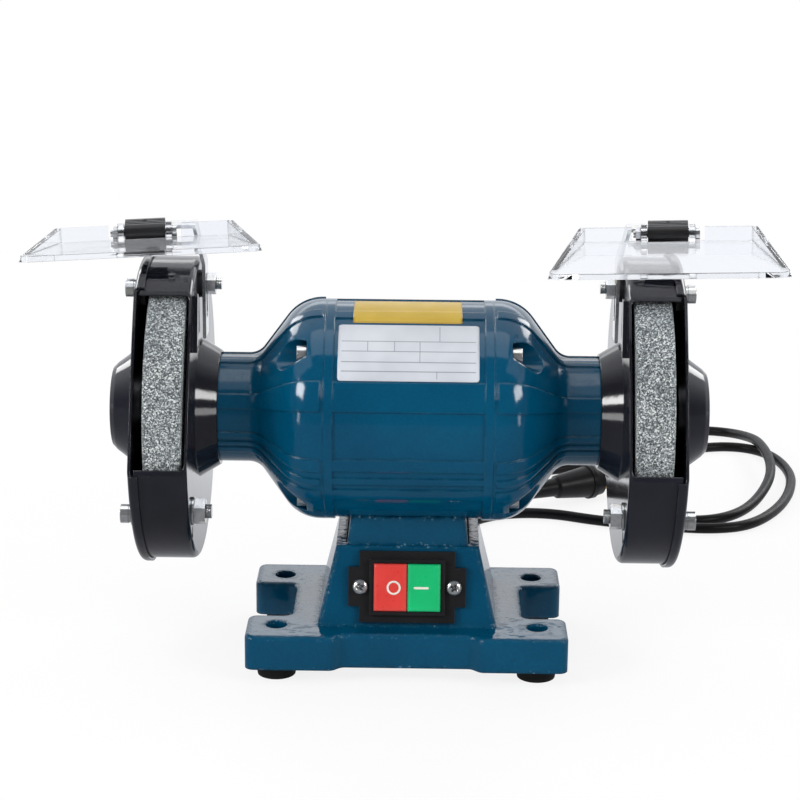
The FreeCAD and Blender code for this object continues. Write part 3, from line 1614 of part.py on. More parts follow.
def switch():
    gap = dims.free_gap
    half_ear = dims.switch_ear_length / 2
    half_main = dims.switch_plate_length / 2
    ear = dims.switch_ear_height / 2
    main = dims.switch_plate_height / 2
    quarter = [(half_ear, ear), (half_main, ear), (half_main, main)]
    upper = quarter + [(-x, y) for x, y in reversed(quarter)]
    outline = upper + [(-x, -y) for x, y in upper]
    plate = pad("switch_flange", "XZ", (-dims.switch_plate_thickness, 0.0), [outline])
    well = [(-width / 2, width / 2) for width in button_well]
    frame = [(low - dims.bezel_wall, high + dims.bezel_wall) for low, high in well]
    front = (-dims.switch_plate_thickness - dims.bezel_height, 0.0)
    bezel = box("switch_bezel", frame[0], front, frame[1])
    window = box("switch_bezel_window", well[0], front, well[1])
    holes = [
        cylinder(f"bezel_hole_{sx + 2}", "Y", dims.m3_diameter / 2 + dims.hole_gap,
                 (-dims.switch_plate_thickness, 0.0), (sx * dims.switch_screw_pitch / 2, 0.0))
        for sx in (-1, 1)
    ]
    node(slope_frame(cut("switch_front", fuse("switch_front_blank", plate, bezel), window, *holes)),
         "switch_plate")
    shell = box(
        "switch_shell",
        (-switch_shell[0] / 2, switch_shell[0] / 2),
        (0.0, dims.switch_body_depth),
        (-switch_shell[1] / 2, switch_shell[1] / 2),
    )
    floor = dims.button_depth + dims.button_travel + gap
    node(slope_frame(cut("switch_case", shell, box("switch_well", well[0], (0.0, floor), well[1]))),
         "switch_body")
    for name, sx in (("off", -1), ("on", 1)):
        x = (sx * gap / 2, sx * (gap / 2 + dims.button_width))
        z = (-dims.button_height / 2, dims.button_height / 2)
        key = box(f"{name}_key", x, (-dims.button_proud, dims.button_depth), z)
        key = rounded(f"{name}_key_rounded", key, dims.button_round, outer_face(-dims.button_proud.value))
        node(slope_frame(key), f"{name}_button")
    screws = [
        place(screw(f"switch_screw_{sx + 2}", SMALL_HEAD, (dims.m3_diameter, dims.switch_screw_length)),
              (sx * dims.switch_screw_pitch / 2, -dims.switch_plate_thickness, 0.0), facing((0, -1, 0)))
        for sx in (-1, 1)
    ]
    node(slope_frame(group("switch_screw_pair", screws)), "switch_screws")


def outer_face(depth):
    return lambda edge: all(abs(vertex.Y - depth) < 1e-6 for vertex in edge.Vertexes)


# Parts inside the base


def electrics():
    radius = dims.capacitor_diameter / 2
    z = plate_top + dims.clip_wall + radius
    half = dims.capacitor_length / 2
    can = cylinder("capacitor_can", "X", radius, (-half, half), (dims.capacitor_y, z))
    node(can, "run_capacitor")
    clip = (-dims.clip_length / 2, dims.clip_length / 2)
    outer = radius + dims.clip_wall
    block = fuse(
        "clip_blank",
        box("clip_foot", clip, (dims.capacitor_y - outer, dims.capacitor_y + outer), (plate_top, z)),
        cylinder("clip_strap", "X", outer, clip, (dims.capacitor_y, z)),
    )
    grip = cylinder("clip_grip", "X", radius + dims.running_gap, clip, (dims.capacitor_y, z))
    below = box("clip_below", clip, (dims.capacitor_y - outer, dims.capacitor_y + outer), (0.0, plate_top))
    node(cut("clip", block, grip, below), "capacitor_clip")
    x = (dims.terminal_x - dims.terminal_length / 2, dims.terminal_x + dims.terminal_length / 2)
    y = (dims.terminal_y - dims.terminal_depth / 2, dims.terminal_y + dims.terminal_depth / 2)
    top = plate_top + dims.terminal_height
    poles = 3
    wells = [
        cylinder(f"terminal_well_{number + 1}", "Z", dims.terminal_length / poles * 0.3,
                 (top - dims.terminal_height * 0.4, top),
                 (x[0] + dims.terminal_length * (number + 0.5) / poles, dims.terminal_y))
        for number in range(poles)
    ]
    node(cut("terminals", box("terminal_blank", x, y, (plate_top, top)), *wells), "terminal_block")


# Mains cord


def strain_relief():
    neck = dims.gland_diameter / 2
    flange_end = rear_face + dims.gland_flange_thickness
    tip = rear_face + dims.gland_length
    start = dims.cavity_depth / 2 - dims.casting_wall
    rings = 5
    corners = [(start, 0.0), (start, neck), (rear_face, neck),
               (rear_face, dims.gland_flange_diameter / 2), (flange_end, dims.gland_flange_diameter / 2)]
    pitch = (tip - flange_end) / (rings + 0.5)
    fall = (neck - dims.gland_tip_radius) / rings
    for number in range(rings):
        x = flange_end + pitch * number
        radius = neck - fall * number
        floor = radius - dims.gland_groove
        step = x + pitch * 0.4
        corners += [(x, floor), (step, floor), (step, radius), (x + pitch, radius)]
    corners += [(tip - pitch / 2, dims.gland_tip_radius), (tip, dims.gland_tip_radius), (tip, 0.0)]
    node(revolve("gland", corners, (dims.gland_x, 0.0, dims.gland_z), X_TO_Y), "cord_strain_relief")


def cord():
    """A tube on straight runs joined by arcs as large as the runs allow."""
    points = [FreeCAD.Vector(*point) for point in CORD_ROUTE]
    edges = []
    radii = []
    last = points[0]
    for before, corner, after in zip(points, points[1:], points[2:]):
        inward = (corner - before).normalize()
        outward = (after - corner).normalize()
        half_turn = inward.getAngle(outward) / 2
        reach = 0.45 * min((corner - before).Length, (after - corner).Length)
        radii.append(reach / math.tan(half_turn))
        start = corner - inward * reach
        end = corner + outward * reach
        sag = radii[-1] * (1 / math.cos(half_turn) - 1)
        middle = corner + (outward - inward).normalize() * sag
        edges.append(Part.LineSegment(last, start).toShape())
        edges.append(Part.Arc(start, middle, end).toShape())
        last = end
    edges.append(Part.LineSegment(last, points[-1]).toShape())
    path = Part.Wire(edges)
    section = Part.Wire(Part.Circle(points[0], points[1] - points[0], cord_radius.value).toShape())
    tube = doc.addObject("Part::Feature", "cord_tube")
    tube.Shape = path.makePipeShell([section], True, False)
    node(tube, "power_cord")
    expected = math.pi * cord_radius.value ** 2 * path.Length
    print(f"cord length {path.Length:.1f}, least radius {min(radii):.1f}, "
          f"volume share {tube.Shape.Volume / expected:.4f}")
    print("cord radii " + " ".join(f"{radius:.0f}" for radius in radii))


def plug():
    tail = dims.plug_tail_length
    end = tail + dims.plug_body_length
    neck = dims.plug_neck_radius
    collar = end - dims.plug_collar_setback
    collar_end = collar + dims.plug_collar_width
    corners = [
        (0.0, 0.0),
        (0.0, dims.gland_tip_radius),
        (tail, neck * 0.8),
        (tail + dims.plug_shoulder, neck),
        (collar, dims.plug_radius),
        (collar, dims.plug_collar_radius),
        (collar_end, dims.plug_collar_radius),
        (collar_end, dims.plug_radius),
        (end, dims.plug_radius - dims.plug_taper),
        (end, 0.0),
    ]
    at = CORD_ROUTE[-1]
    heading = FreeCAD.Rotation(FreeCAD.Vector(0, 0, 1), dims.plug_heading.value)
    node(revolve("plug", corners, at, heading), "plug_body")
    pins = []
    for number, turn in enumerate(PIN_ANGLES, start=1):
        blade = box(
            f"pin_{number}",
            (0.0, dims.pin_length),
            (-dims.pin_thickness / 2, dims.pin_thickness / 2),
            (dims.pin_offset - dims.pin_width / 2, dims.pin_offset + dims.pin_width / 2),
        )
        around = FreeCAD.Rotation(FreeCAD.Vector(1, 0, 0), turn)
        pins.append(place(group(f"pin_{number}_set", [blade]), (end, 0.0, 0.0), around))
    node(place(group("pins", pins), at, heading), "plug_pins")


def check_and_write():
    doc.recompute()
    faults = []
    for item in doc.Objects:
        if "Invalid" in item.State or "Error" in item.State:
            faults.append(f"{item.Name} {item.State}")
    for item in nodes:
        if item.Shape.isNull() or not item.Shape.isValid() or not item.Shape.Solids:
            faults.append(f"{item.Label} has no valid solid")
    if faults:
        raise RuntimeError("; ".join(faults))
    os.makedirs("parts", exist_ok=True)
    for item in nodes:
        item.Shape.exportStep(f"parts/{item.Label}.step")
    print(f"{len(nodes)} sub-parts written")


base_casting()
bottom_plate()
rubber_feet()
stator_housing()
housing_screws()
end_bells()
bell_screws()
stator()
rotor()
bearings()
wheels()
guards()
guard_fasteners()
for end_name, end_side in SIDES:
    bracket(end_name, end_side)
    hinge_block(end_name, end_side)
    eye_shield(end_name, end_side)
switch()
electrics()
strain_relief()
cord()
plug()
check_and_write()
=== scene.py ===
import math

import bmesh
import bpy
from mathutils import Matrix, Vector


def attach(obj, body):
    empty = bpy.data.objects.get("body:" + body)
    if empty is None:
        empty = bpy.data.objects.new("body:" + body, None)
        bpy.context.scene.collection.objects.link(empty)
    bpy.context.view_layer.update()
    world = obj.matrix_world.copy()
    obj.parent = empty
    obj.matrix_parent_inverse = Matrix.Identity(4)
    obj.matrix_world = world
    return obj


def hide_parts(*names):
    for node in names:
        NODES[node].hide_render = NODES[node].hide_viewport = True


# Bench grinder: finishes, bare labels, switch marks and screws, mains cord, studio, camera.
# Metres, in the frame of the solids: X along the shaft, -Y to the user, Z up.

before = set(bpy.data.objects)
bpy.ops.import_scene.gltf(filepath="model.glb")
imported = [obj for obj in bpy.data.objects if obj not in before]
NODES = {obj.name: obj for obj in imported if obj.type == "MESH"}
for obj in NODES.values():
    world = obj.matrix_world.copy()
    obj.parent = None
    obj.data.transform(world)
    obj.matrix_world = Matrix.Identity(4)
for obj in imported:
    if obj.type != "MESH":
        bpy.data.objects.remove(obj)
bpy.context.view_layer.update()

MM = 0.001
AXIS_HEIGHT = 111.5 * MM


# Helpers for finishes

WAVE_PERIOD = math.pi / 10  # of the wave texture at scale 1
LABEL_UV = "plate"


def paint(code):
    """Linear colour from a hex code."""
    channels = [int(code[i : i + 2], 16) / 255 for i in (1, 3, 5)]
    linear = [c / 12.92 if c <= 0.04045 else ((c + 0.055) / 1.055) ** 2.4 for c in channels]
    return (*linear, 1.0)


class Finish:
    """A surface finish: one principled shader and the textures that feed it.

    Texture scales are in features per metre, and detail is in octaves.
    """

    def __init__(self, name, **values):
        self.material = bpy.data.materials.new(name)
        self.material.use_nodes = True
        self.tree = self.material.node_tree
        self.shader = self.tree.nodes["Principled BSDF"]
        for socket, value in values.items():
            self.shader.inputs[socket.replace("_", " ")].default_value = value
        self.place = self.add("ShaderNodeTexCoord").outputs["Object"]
        self.surface = None

    def add(self, kind, **settings):
        node = self.tree.nodes.new(kind)
        for key, value in settings.items():
            setattr(node, key, value)
        return node

    def feed(self, socket, value):
        if isinstance(value, bpy.types.NodeSocket):
            self.tree.links.new(value, socket)
        else:
            socket.default_value = value

    def stretched(self, stretch):
        node = self.add("ShaderNodeMapping")
        self.feed(node.inputs["Vector"], self.place)
        node.inputs["Scale"].default_value = stretch
        return node.outputs["Vector"]

    def label_place(self):
        """Across and up over a label, each from 0 to 1."""
        flat = self.add("ShaderNodeSeparateXYZ")
        self.feed(flat.inputs[0], self.add("ShaderNodeUVMap", uv_map=LABEL_UV).outputs["UV"])
        return flat.outputs[0], flat.outputs[1]

    def noise(self, scale, detail=2.0, roughness=0.5, stretch=None):
        node = self.add("ShaderNodeTexNoise")
        self.feed(node.inputs["Vector"], self.stretched(stretch) if stretch else self.place)
        node.inputs["Scale"].default_value = scale
        node.inputs["Detail"].default_value = detail
        node.inputs["Roughness"].default_value = roughness
        return node.outputs["Fac"]

    def cells(self, scale, output="Distance", feature="F1"):
        node = self.add("ShaderNodeTexVoronoi", feature=feature)
        self.feed(node.inputs["Vector"], self.place)
        node.inputs["Scale"].default_value = scale
        return node.outputs[output]

    def waves(self, scale, distortion=0.0, kind="BANDS"):
        """Bands across the X axis, or rings round it."""
        node = self.add("ShaderNodeTexWave", wave_type=kind)
        if kind == "BANDS":
            node.bands_direction = "X"
        else:
            node.rings_direction = "X"
        self.feed(node.inputs["Vector"], self.place)
        node.inputs["Scale"].default_value = scale
        node.inputs["Distortion"].default_value = distortion
        return node.outputs["Fac"]

    def ramp(self, factor, *stops):
        node = self.add("ShaderNodeValToRGB")
        self.feed(node.inputs["Fac"], factor)
        elements = node.color_ramp.elements
        while len(elements) < len(stops):
            elements.new(0.5)
        for element, (position, code) in zip(elements, stops):
            element.position = position
            element.color = paint(code)
        return node.outputs["Color"]

    def shades(self, factor, first, second, start=0.3, end=0.7):
        """Two close colours, shared out by a texture."""
        return self.ramp(factor, (start, first), (end, second))

    def level(self, factor, low, high, start=0.0, end=1.0):
        """The factor from start to end, brought to the range from low to high."""
        node = self.add("ShaderNodeMapRange")
        self.feed(node.inputs["Value"], factor)
        node.inputs["From Min"].default_value = start
        node.inputs["From Max"].default_value = end
        node.inputs["To Min"].default_value = low
        node.inputs["To Max"].default_value = high
        return node.outputs["Result"]

    def math(self, operation, a, b=0.0):
        node = self.add("ShaderNodeMath", operation=operation)
        self.feed(node.inputs[0], a)
        self.feed(node.inputs[1], b)
        return node.outputs[0]

    def times(self, first, *others):
        for other in others:
            first = self.math("MULTIPLY", first, other)
        return first

    def mix(self, factor, a, b, kind="MIX"):
        node = self.add("ShaderNodeMix", data_type="RGBA", blend_type=kind)
        self.feed(node.inputs["Factor"], factor)
        self.feed(node.inputs["A"], a)
        self.feed(node.inputs["B"], b)
        return node.outputs["Result"]

    def rounded_normal(self, radius):
        soft = self.add("ShaderNodeBevel", samples=4)
        soft.inputs["Radius"].default_value = radius
        return soft.outputs["Normal"]

    def edges(self, radius, low, high):
        """A mask along the edges: where a rounded normal leaves the true one."""
        true = self.add("ShaderNodeNewGeometry").outputs["True Normal"]
        dot = self.add("ShaderNodeVectorMath", operation="DOT_PRODUCT")
        self.feed(dot.inputs[0], self.rounded_normal(radius))
        self.feed(dot.inputs[1], true)
        return self.level(dot.outputs["Value"], 1.0, 0.0, low, high)

    def crevices(self, distance, low, high):
        """A mask in corners and recesses, where little open space is near."""
        shade = self.add("ShaderNodeAmbientOcclusion", samples=6)
        shade.inputs["Distance"].default_value = distance
        return self.level(shade.outputs["AO"], 1.0, 0.0, low, high)

    def soften(self, radius):
        """Edges catch the light as if they were rounded."""
        self.surface = self.rounded_normal(radius)

    def bump(self, height, strength, distance):
        node = self.add("ShaderNodeBump")
        self.feed(node.inputs["Strength"], strength)
        node.inputs["Distance"].default_value = distance
        self.feed(node.inputs["Height"], height)
        if self.surface is not None:
            self.feed(node.inputs["Normal"], self.surface)
        self.surface = node.outputs["Normal"]

    def done(self, **feeds):
        for socket, value in feeds.items():
            self.feed(self.shader.inputs[socket.replace("_", " ")], value)
        if self.surface is not None:
            self.feed(self.shader.inputs["Normal"], self.surface)
        return self.material


# Finishes


def enamel(name, peel_depth, rounding, grit):
    """Blue gloss enamel: orange peel, lighter edges that are partly thin paint and partly a
    painted highlight, and grit on rough castings.
    """
    finish = Finish(name, IOR=1.45)
    finish.soften(rounding)
    base = finish.shades(finish.noise(28.0, 3.0), "#003f5c", "#004a69")
    fleck = finish.shades(finish.noise(900.0), "#00344e", "#035474", 0.35, 0.65)
    colour = finish.mix(0.12, base, fleck)
    # Lighter edges: partly thin paint and wear, partly a painted highlight along the edges.
    edge_patches = finish.level(finish.noise(160.0), 0.0, 1.0, 0.4, 0.7)
    lighter_edges = finish.times(finish.edges(rounding, 0.75, 0.99), edge_patches, 0.25)
    colour = finish.mix(lighter_edges, colour, paint("#3f7f9b"))
    finish.bump(finish.noise(240.0), 0.14, peel_depth)
    if grit:
        colour = casting_grit(finish, colour, rounding, grit)
    rough = finish.level(finish.noise(90.0), 0.06, 0.13)
    return finish.done(Base_Color=colour, Roughness=rough)


def casting_grit(finish, colour, rounding, grit):
    """Sand-cast metal under paint: fine grain, painted highlight dots along the edges, rough
    patches, pits, and lumps on the edges.
    """
    # Pale dots along the edges are painted highlights, standing in for glints on the rough cast
    # edges.
    glint_dots = finish.level(finish.cells(480.0), 1.0, 0.0, 0.16, 0.34)
    rare = finish.level(finish.noise(80.0), 0.0, 0.55, 0.42, 0.58)
    painted_glint = finish.times(glint_dots, rare, finish.edges(rounding * 1.2, 0.8, 0.97))
    colour = finish.mix(painted_glint, colour, paint("#a8cadb"))
    finish.bump(finish.noise(430.0, 1.0), 0.2, grit * 0.4)
    patches = finish.level(finish.noise(30.0), 0.0, 1.0, 0.52, 0.66)
    finish.bump(finish.times(finish.noise(190.0, 1.0), patches), 0.6, grit)
    pits = finish.level(finish.cells(120.0), 1.0, 0.0, 0.04, 0.16)
    finish.bump(finish.times(pits, patches), 0.5, -grit)
    lumps = finish.cells(430.0, feature="SMOOTH_F1")
    finish.bump(lumps, finish.edges(rounding * 1.7, 0.85, 0.995), grit * 1.6)
    return colour


def guard_paint():
    """Black gloss enamel on pressed sheet: fine peel, dust and lighter edges."""
    finish = Finish("guard_paint", IOR=1.52)
    finish.soften(0.6 * MM)
    base = finish.shades(finish.noise(34.0, 3.0), "#15161c", "#1f2028")
    dust = finish.level(finish.cells(420.0), 1.0, 0.0, 0.02, 0.09)
    rare = finish.level(finish.noise(70.0), 0.0, 1.0, 0.6, 0.7)
    colour = finish.mix(finish.times(dust, rare, 0.35), base, paint("#8a8a90"))
    edge_patches = finish.level(finish.noise(210.0), 0.0, 0.5, 0.45, 0.7)
    lighter_edges = finish.times(finish.edges(0.7 * MM, 0.75, 0.97), edge_patches)
    colour = finish.mix(lighter_edges, colour, paint("#4a4a50"))
    finish.bump(finish.noise(190.0), 0.12, 0.35 * MM)
    rough = finish.level(finish.noise(60.0, 3.0), 0.05, 0.13)
    return finish.done(Base_Color=colour, Roughness=rough)


def zinc(name, thread_pitch=0.0):
    """Bright zinc: cloudy plating, fine scratches, painted shade in corners, maybe a thread
    along X.
    """
    finish = Finish(name, Metallic=0.9)
    finish.soften(0.35 * MM)
    cloud = finish.noise(120.0, 3.0)
    base = finish.ramp(cloud, (0.25, "#c4c7cb"), (0.5, "#e2e4e7"), (0.75, "#d9d6cd"))
    dirt = finish.level(finish.noise(500.0, 3.0), 0.0, 0.4, 0.55, 0.8)
    colour = finish.mix(dirt, base, paint("#7d8086"))
    # Painted shade: near-black darkening in corners and recesses, such as the cross of a screw.
    colour = finish.mix(finish.crevices(1.2 * MM, 0.35, 0.8), colour, paint("#16171a"))
    if thread_pitch:
        finish.bump(finish.waves(WAVE_PERIOD / thread_pitch), 1.0, thread_pitch * 0.5)
    scratch = finish.noise(900.0, stretch=(1.0, 0.12, 1.0))
    finish.bump(scratch, 0.14, 0.12 * MM)
    rough = finish.level(finish.noise(260.0), 0.12, 0.3)
    return finish.done(Base_Color=colour, Roughness=rough)


def steel():
    """Turned steel: fine rings round the shaft and light oil stains."""
    finish = Finish("steel", Metallic=1.0, Anisotropic=0.35)
    finish.soften(0.3 * MM)
    stain = finish.noise(90.0, 3.0)
    colour = finish.ramp(stain, (0.3, "#7e8185"), (0.6, "#a6a9ad"), (0.8, "#8e8a82"))
    finish.bump(finish.waves(900.0, 1.2), 0.15, 0.08 * MM)
    rough = finish.level(finish.noise(300.0), 0.24, 0.4)
    return finish.done(Base_Color=colour, Roughness=rough)


def core_steel():
    """Stacked electrical sheet: thin dark joints across the shaft."""
    finish = Finish("core_steel", Metallic=0.85)
    sheets = finish.waves(630.0)
    joint = finish.level(sheets, 1.0, 0.0, 0.06, 0.3)
    face = finish.shades(finish.noise(70.0), "#4a4c52", "#63666d")
    colour = finish.mix(joint, face, paint("#1c1d20"))
    finish.bump(sheets, 0.4, 0.15 * MM)
    rough = finish.level(finish.noise(200.0), 0.38, 0.55)
    return finish.done(Base_Color=colour, Roughness=rough)


def copper():
    """Enamelled copper wire in tight turns."""
    finish = Finish("copper", Metallic=0.9, Coat_Weight=0.5, Coat_Roughness=0.15)
    turns = finish.waves(420.0, 2.0, kind="RINGS")
    # The colour follows the turns: painted shade in the grooves between them, lighter on their
    # rounded tops as if lit.
    colour = finish.ramp(turns, (0.0, "#4a1c0c"), (0.45, "#a3512a"), (1.0, "#c8743f"))
    finish.bump(turns, 0.8, 0.5 * MM)
    rough = finish.level(finish.noise(300.0), 0.25, 0.4)
    return finish.done(Base_Color=colour, Roughness=rough)


def cast_aluminium():
    """Die-cast aluminium: a dull, finely pebbled skin."""
    finish = Finish("cast_aluminium", Metallic=1.0)
    colour = finish.shades(finish.noise(160.0, 4.0), "#8d9094", "#b7babd")
    finish.bump(finish.cells(700.0, feature="SMOOTH_F1"), 0.4, 0.3 * MM)
    rough = finish.level(finish.noise(400.0), 0.4, 0.6)
    return finish.done(Base_Color=colour, Roughness=rough)


def abrasive():
    """Bonded grit: grey grains of several sizes, with bright facets and dark pores painted in as
    glints and shade.
    """
    finish = Finish("abrasive", IOR=1.55, Specular_IOR_Level=0.35)
    grain = finish.add("ShaderNodeSeparateColor")
    finish.feed(grain.inputs["Color"], finish.cells(2100.0, "Color"))
    grain_shade, grain_gloss = grain.outputs[0], grain.outputs[1]
    fine = finish.noise(4000.0, 3.0, 0.7)
    blend = finish.math("ADD", finish.times(grain_shade, 0.62), finish.times(fine, 0.42))
    # Grain tones, with painted shade at the dark end (pores) and painted glints at the bright
    # end (facets).
    colour = finish.ramp(
        blend, (0.14, "#1d2022"), (0.4, "#5d6366"), (0.62, "#949b9d"), (0.84, "#f4f8f6")
    )
    patch = finish.shades(finish.noise(60.0), "#e4e6e8", "#ffffff")
    colour = finish.mix(1.0, colour, patch, "MULTIPLY")
    finish.bump(blend, 0.9, 0.5 * MM)
    rough = finish.level(grain_gloss, 0.55, 0.95)
    return finish.done(Base_Color=colour, Roughness=rough)


def paper():
    """Red blotting paper with visible fibres."""
    finish = Finish("paper", Specular_IOR_Level=0.2)
    fibre = finish.noise(1400.0, 4.0, 0.7, stretch=(1.0, 0.25, 1.0))
    colour = finish.shades(fibre, "#7a2a2a", "#a24848")
    finish.bump(fibre, 0.5, 0.15 * MM)
    rough = finish.level(fibre, 0.75, 0.95)
    return finish.done(Base_Color=colour, Roughness=rough)


def rubber(name, dark, light, low, high, gloss=0.4):
    """Black rubber or soft vinyl: a dull skin with faint moulding marks."""
    finish = Finish(name, Specular_IOR_Level=gloss)
    finish.soften(0.4 * MM)
    colour = finish.shades(finish.noise(140.0, 3.0), dark, light, end=0.75)
    finish.bump(finish.noise(1300.0), 0.25, 0.12 * MM)
    finish.bump(finish.noise(180.0), 0.15, 0.3 * MM)
    rough = finish.level(finish.noise(260.0), low, high)
    return finish.done(Base_Color=colour, Roughness=rough)


def clear_plastic():
    """Clear acrylic: faint scuffs and a trace of mould flow."""
    finish = Finish("clear_plastic", IOR=1.49, Transmission_Weight=1.0)
    finish.soften(0.5 * MM)
    colour = finish.shades(finish.noise(14.0, 1.0), "#f8f9fc", "#fdfeff")
    finish.bump(finish.noise(45.0, 1.0), 0.05, 0.4 * MM)
    scuff = finish.noise(700.0, stretch=(0.06, 1.0, 1.0))
    rough = finish.level(scuff, 0.015, 0.08, 0.55, 0.8)
    return finish.done(Base_Color=colour, Roughness=rough)


def moulded(name, low, high, edge, roughness, texture, rim=0.5 * MM):
    """Moulded plastic: spark-eroded texture, lighter edges that are partly wear and partly a
    painted highlight, and a faint variation in tone.
    """
    finish = Finish(name, IOR=1.5)
    finish.soften(rim * 0.8)
    shade = finish.shades(finish.noise(55.0, 3.0), low, high)
    # Lighter edges: wear on small parts, and on the buttons a wider painted highlight along the
    # rim.
    lighter_edges = finish.times(finish.edges(rim, 0.75, 0.98), 0.35)
    colour = finish.mix(lighter_edges, shade, paint(edge))
    finish.bump(finish.noise(1500.0), 0.3, texture)
    rough = finish.level(finish.noise(420.0), roughness - 0.07, roughness + 0.07)
    return finish.done(Base_Color=colour, Roughness=rough)


def brass():
    """Drawn brass: fine lines along X and a little tarnish."""
    finish = Finish("brass", Metallic=1.0)
    finish.soften(0.3 * MM)
    colour = finish.shades(finish.noise(180.0, 3.0), "#a98a4a", "#d3b874")
    finish.bump(finish.noise(1100.0, stretch=(0.15, 1.0, 1.0)), 0.2, 0.1 * MM)
    rough = finish.level(finish.noise(320.0), 0.22, 0.4)
    return finish.done(Base_Color=colour, Roughness=rough)


# The empty table on the rating plate, in shares of its width and height
TABLE_RULES = (0.15, 0.3, 0.48, 0.66)
TABLE_MARGINS = (0.025, 0.975)
TABLE_DIVIDERS = (  # place, lower end, upper end
    (0.72, 0.66, 0.96),
    (0.21, 0.48, 0.66),
    (0.4, 0.48, 0.66),
    (0.58, 0.3, 0.66),
    (0.7, 0.04, 0.15),
)
RULE_HALF_WIDTH = 0.008
DIVIDER_HALF_WIDTH = 0.003


def rating_foil():
    """Satin white foil with an empty ruled table."""
    finish = Finish("rating_foil", Specular_IOR_Level=0.5, Coat_Weight=0.2, Coat_Roughness=0.2)
    u, v = finish.label_place()

    def line(across, at, half_width, along, low, high):
        away = finish.math("ABSOLUTE", finish.math("SUBTRACT", across, at))
        started = finish.math("GREATER_THAN", along, low)
        not_ended = finish.math("LESS_THAN", along, high)
        return finish.times(finish.math("LESS_THAN", away, half_width), started, not_ended)

    lines = [line(v, at, RULE_HALF_WIDTH, u, *TABLE_MARGINS) for at in TABLE_RULES]
    lines += [line(u, at, DIVIDER_HALF_WIDTH, v, low, high) for at, low, high in TABLE_DIVIDERS]
    table = lines[0]
    for other in lines[1:]:
        table = finish.math("MAXIMUM", table, other)
    foil = finish.shades(finish.noise(60.0), "#bcc0c8", "#c9cdd4")
    colour = finish.mix(finish.times(table, 0.62), foil, paint("#5d6470"))
    finish.bump(finish.noise(800.0), 0.08, 0.1 * MM)
    rough = finish.level(finish.noise(150.0), 0.3, 0.42)
    return finish.done(Base_Color=colour, Roughness=rough)


def sticker_film():
    """Plain yellow film with a slightly darker border."""
    finish = Finish("sticker_film", Specular_IOR_Level=0.5)
    u, v = finish.label_place()

    def border(value, width):
        away = finish.math("ABSOLUTE", finish.math("SUBTRACT", value, 0.5))
        return finish.math("GREATER_THAN", away, 0.5 - width)

    rim = finish.math("MAXIMUM", border(u, 0.012), border(v, 0.05))
    film = finish.shades(finish.noise(70.0), "#c2a12c", "#cdac38")
    colour = finish.mix(finish.times(rim, 0.5), film, paint("#ad881c"))
    finish.bump(finish.noise(500.0), 0.1, 0.1 * MM)
    rough = finish.level(finish.noise(150.0), 0.32, 0.46)
    return finish.done(Base_Color=colour, Roughness=rough)


STUD_PITCH = 0.8 * MM
# Width of the lighter rim on the buttons, a painted edge highlight.
BUTTON_RIM = 2.2 * MM

zinc_plate = zinc("zinc")
FINISHES = {
    enamel("enamel_shell", 0.3 * MM, 1.1 * MM, 0.0): (
        "stator_housing", "left_end_bell", "right_end_bell",
    ),
    enamel("enamel_casting", 0.45 * MM, 2.6 * MM, 0.7 * MM): ("base_casting",),
    guard_paint(): (
        "left_guard_shell", "right_guard_shell", "left_guard_cover", "right_guard_cover",
    ),
    zinc_plate: (
        "bottom_plate", "bottom_plate_screws", "housing_screws", "end_bell_screws",
        "guard_cover_screws", "guard_cover_washers", "guard_fixing_screws", "guard_stud_nuts",
        "guard_stud_washers", "switch_screws", "left_shield_bracket", "right_shield_bracket",
        "left_block_screw", "right_block_screw", "left_hinge_screw", "right_hinge_screw",
    ),
    zinc("zinc_thread", STUD_PITCH): ("guard_studs",),
    steel(): (
        "rotor_shaft", "bearing_outer_rings", "bearing_inner_rings", "bearing_balls",
        "preload_washer", "left_inner_flange", "right_inner_flange", "left_outer_flange",
        "right_outer_flange", "left_wheel_nut", "right_wheel_nut",
    ),
    core_steel(): ("stator_core", "rotor_core"),
    copper(): ("stator_windings",),
    cast_aluminium(): ("rotor_end_rings", "run_capacitor"),
    abrasive(): ("left_wheel", "right_wheel"),
    paper(): ("wheel_blotters",),
    rubber("rubber", "#0d0d0e", "#1a1a1b", 0.55, 0.8): ("rubber_feet", "cord_strain_relief"),
    rubber("plug_vinyl", "#070708", "#101012", 0.3, 0.48, 0.22): ("plug_body",),
    clear_plastic(): ("left_eye_shield", "right_eye_shield"),
    moulded("black_plastic", "#0f0f11", "#18181b", "#3a3a3e", 0.42, 0.12 * MM): (
        "switch_plate", "switch_body", "bracket_spacers", "capacitor_clip",
        "left_hinge_block", "right_hinge_block",
    ),
    moulded("white_plastic", "#d9dad6", "#e8e9e6", "#f6f6f4", 0.4, 0.1 * MM): (
        "terminal_block",
    ),
    moulded("red_plastic", "#d63731", "#e0423b", "#f58a80", 0.3, 0.06 * MM, BUTTON_RIM): (
        "off_button",
    ),
    moulded("green_plastic", "#00b069", "#03c074", "#63e0a6", 0.3, 0.06 * MM, BUTTON_RIM): (
        "on_button",
    ),
    brass(): ("plug_pins",),
}
for material, names in FINISHES.items():
    for name in names:
        slots = NODES[name].data.materials
        slots.clear()
        slots.append(material)


# Helpers for pieces


def piece(name, shape, material, body):
    """A piece of the scene with its finish, riding on a body of the part."""
    thing = bpy.data.objects.new(name, shape)
    bpy.context.scene.collection.objects.link(thing)
    shape.materials.append(material)
    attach(thing, body)
    return thing


def mesh_of(name, bm, smooth=True):
    bmesh.ops.recalc_face_normals(bm, faces=bm.faces)
    mesh = bpy.data.meshes.new(name)
    bm.to_mesh(mesh)
    bm.free()
    for polygon in mesh.polygons:
        polygon.use_smooth = smooth
    return mesh


def bridge(bm, first, second):
    """Faces between two closed loops with the same number of points."""
    count = len(first)
    for i in range(count):
        j = (i + 1) % count
        bm.faces.new((first[i], first[j], second[j], second[i]))


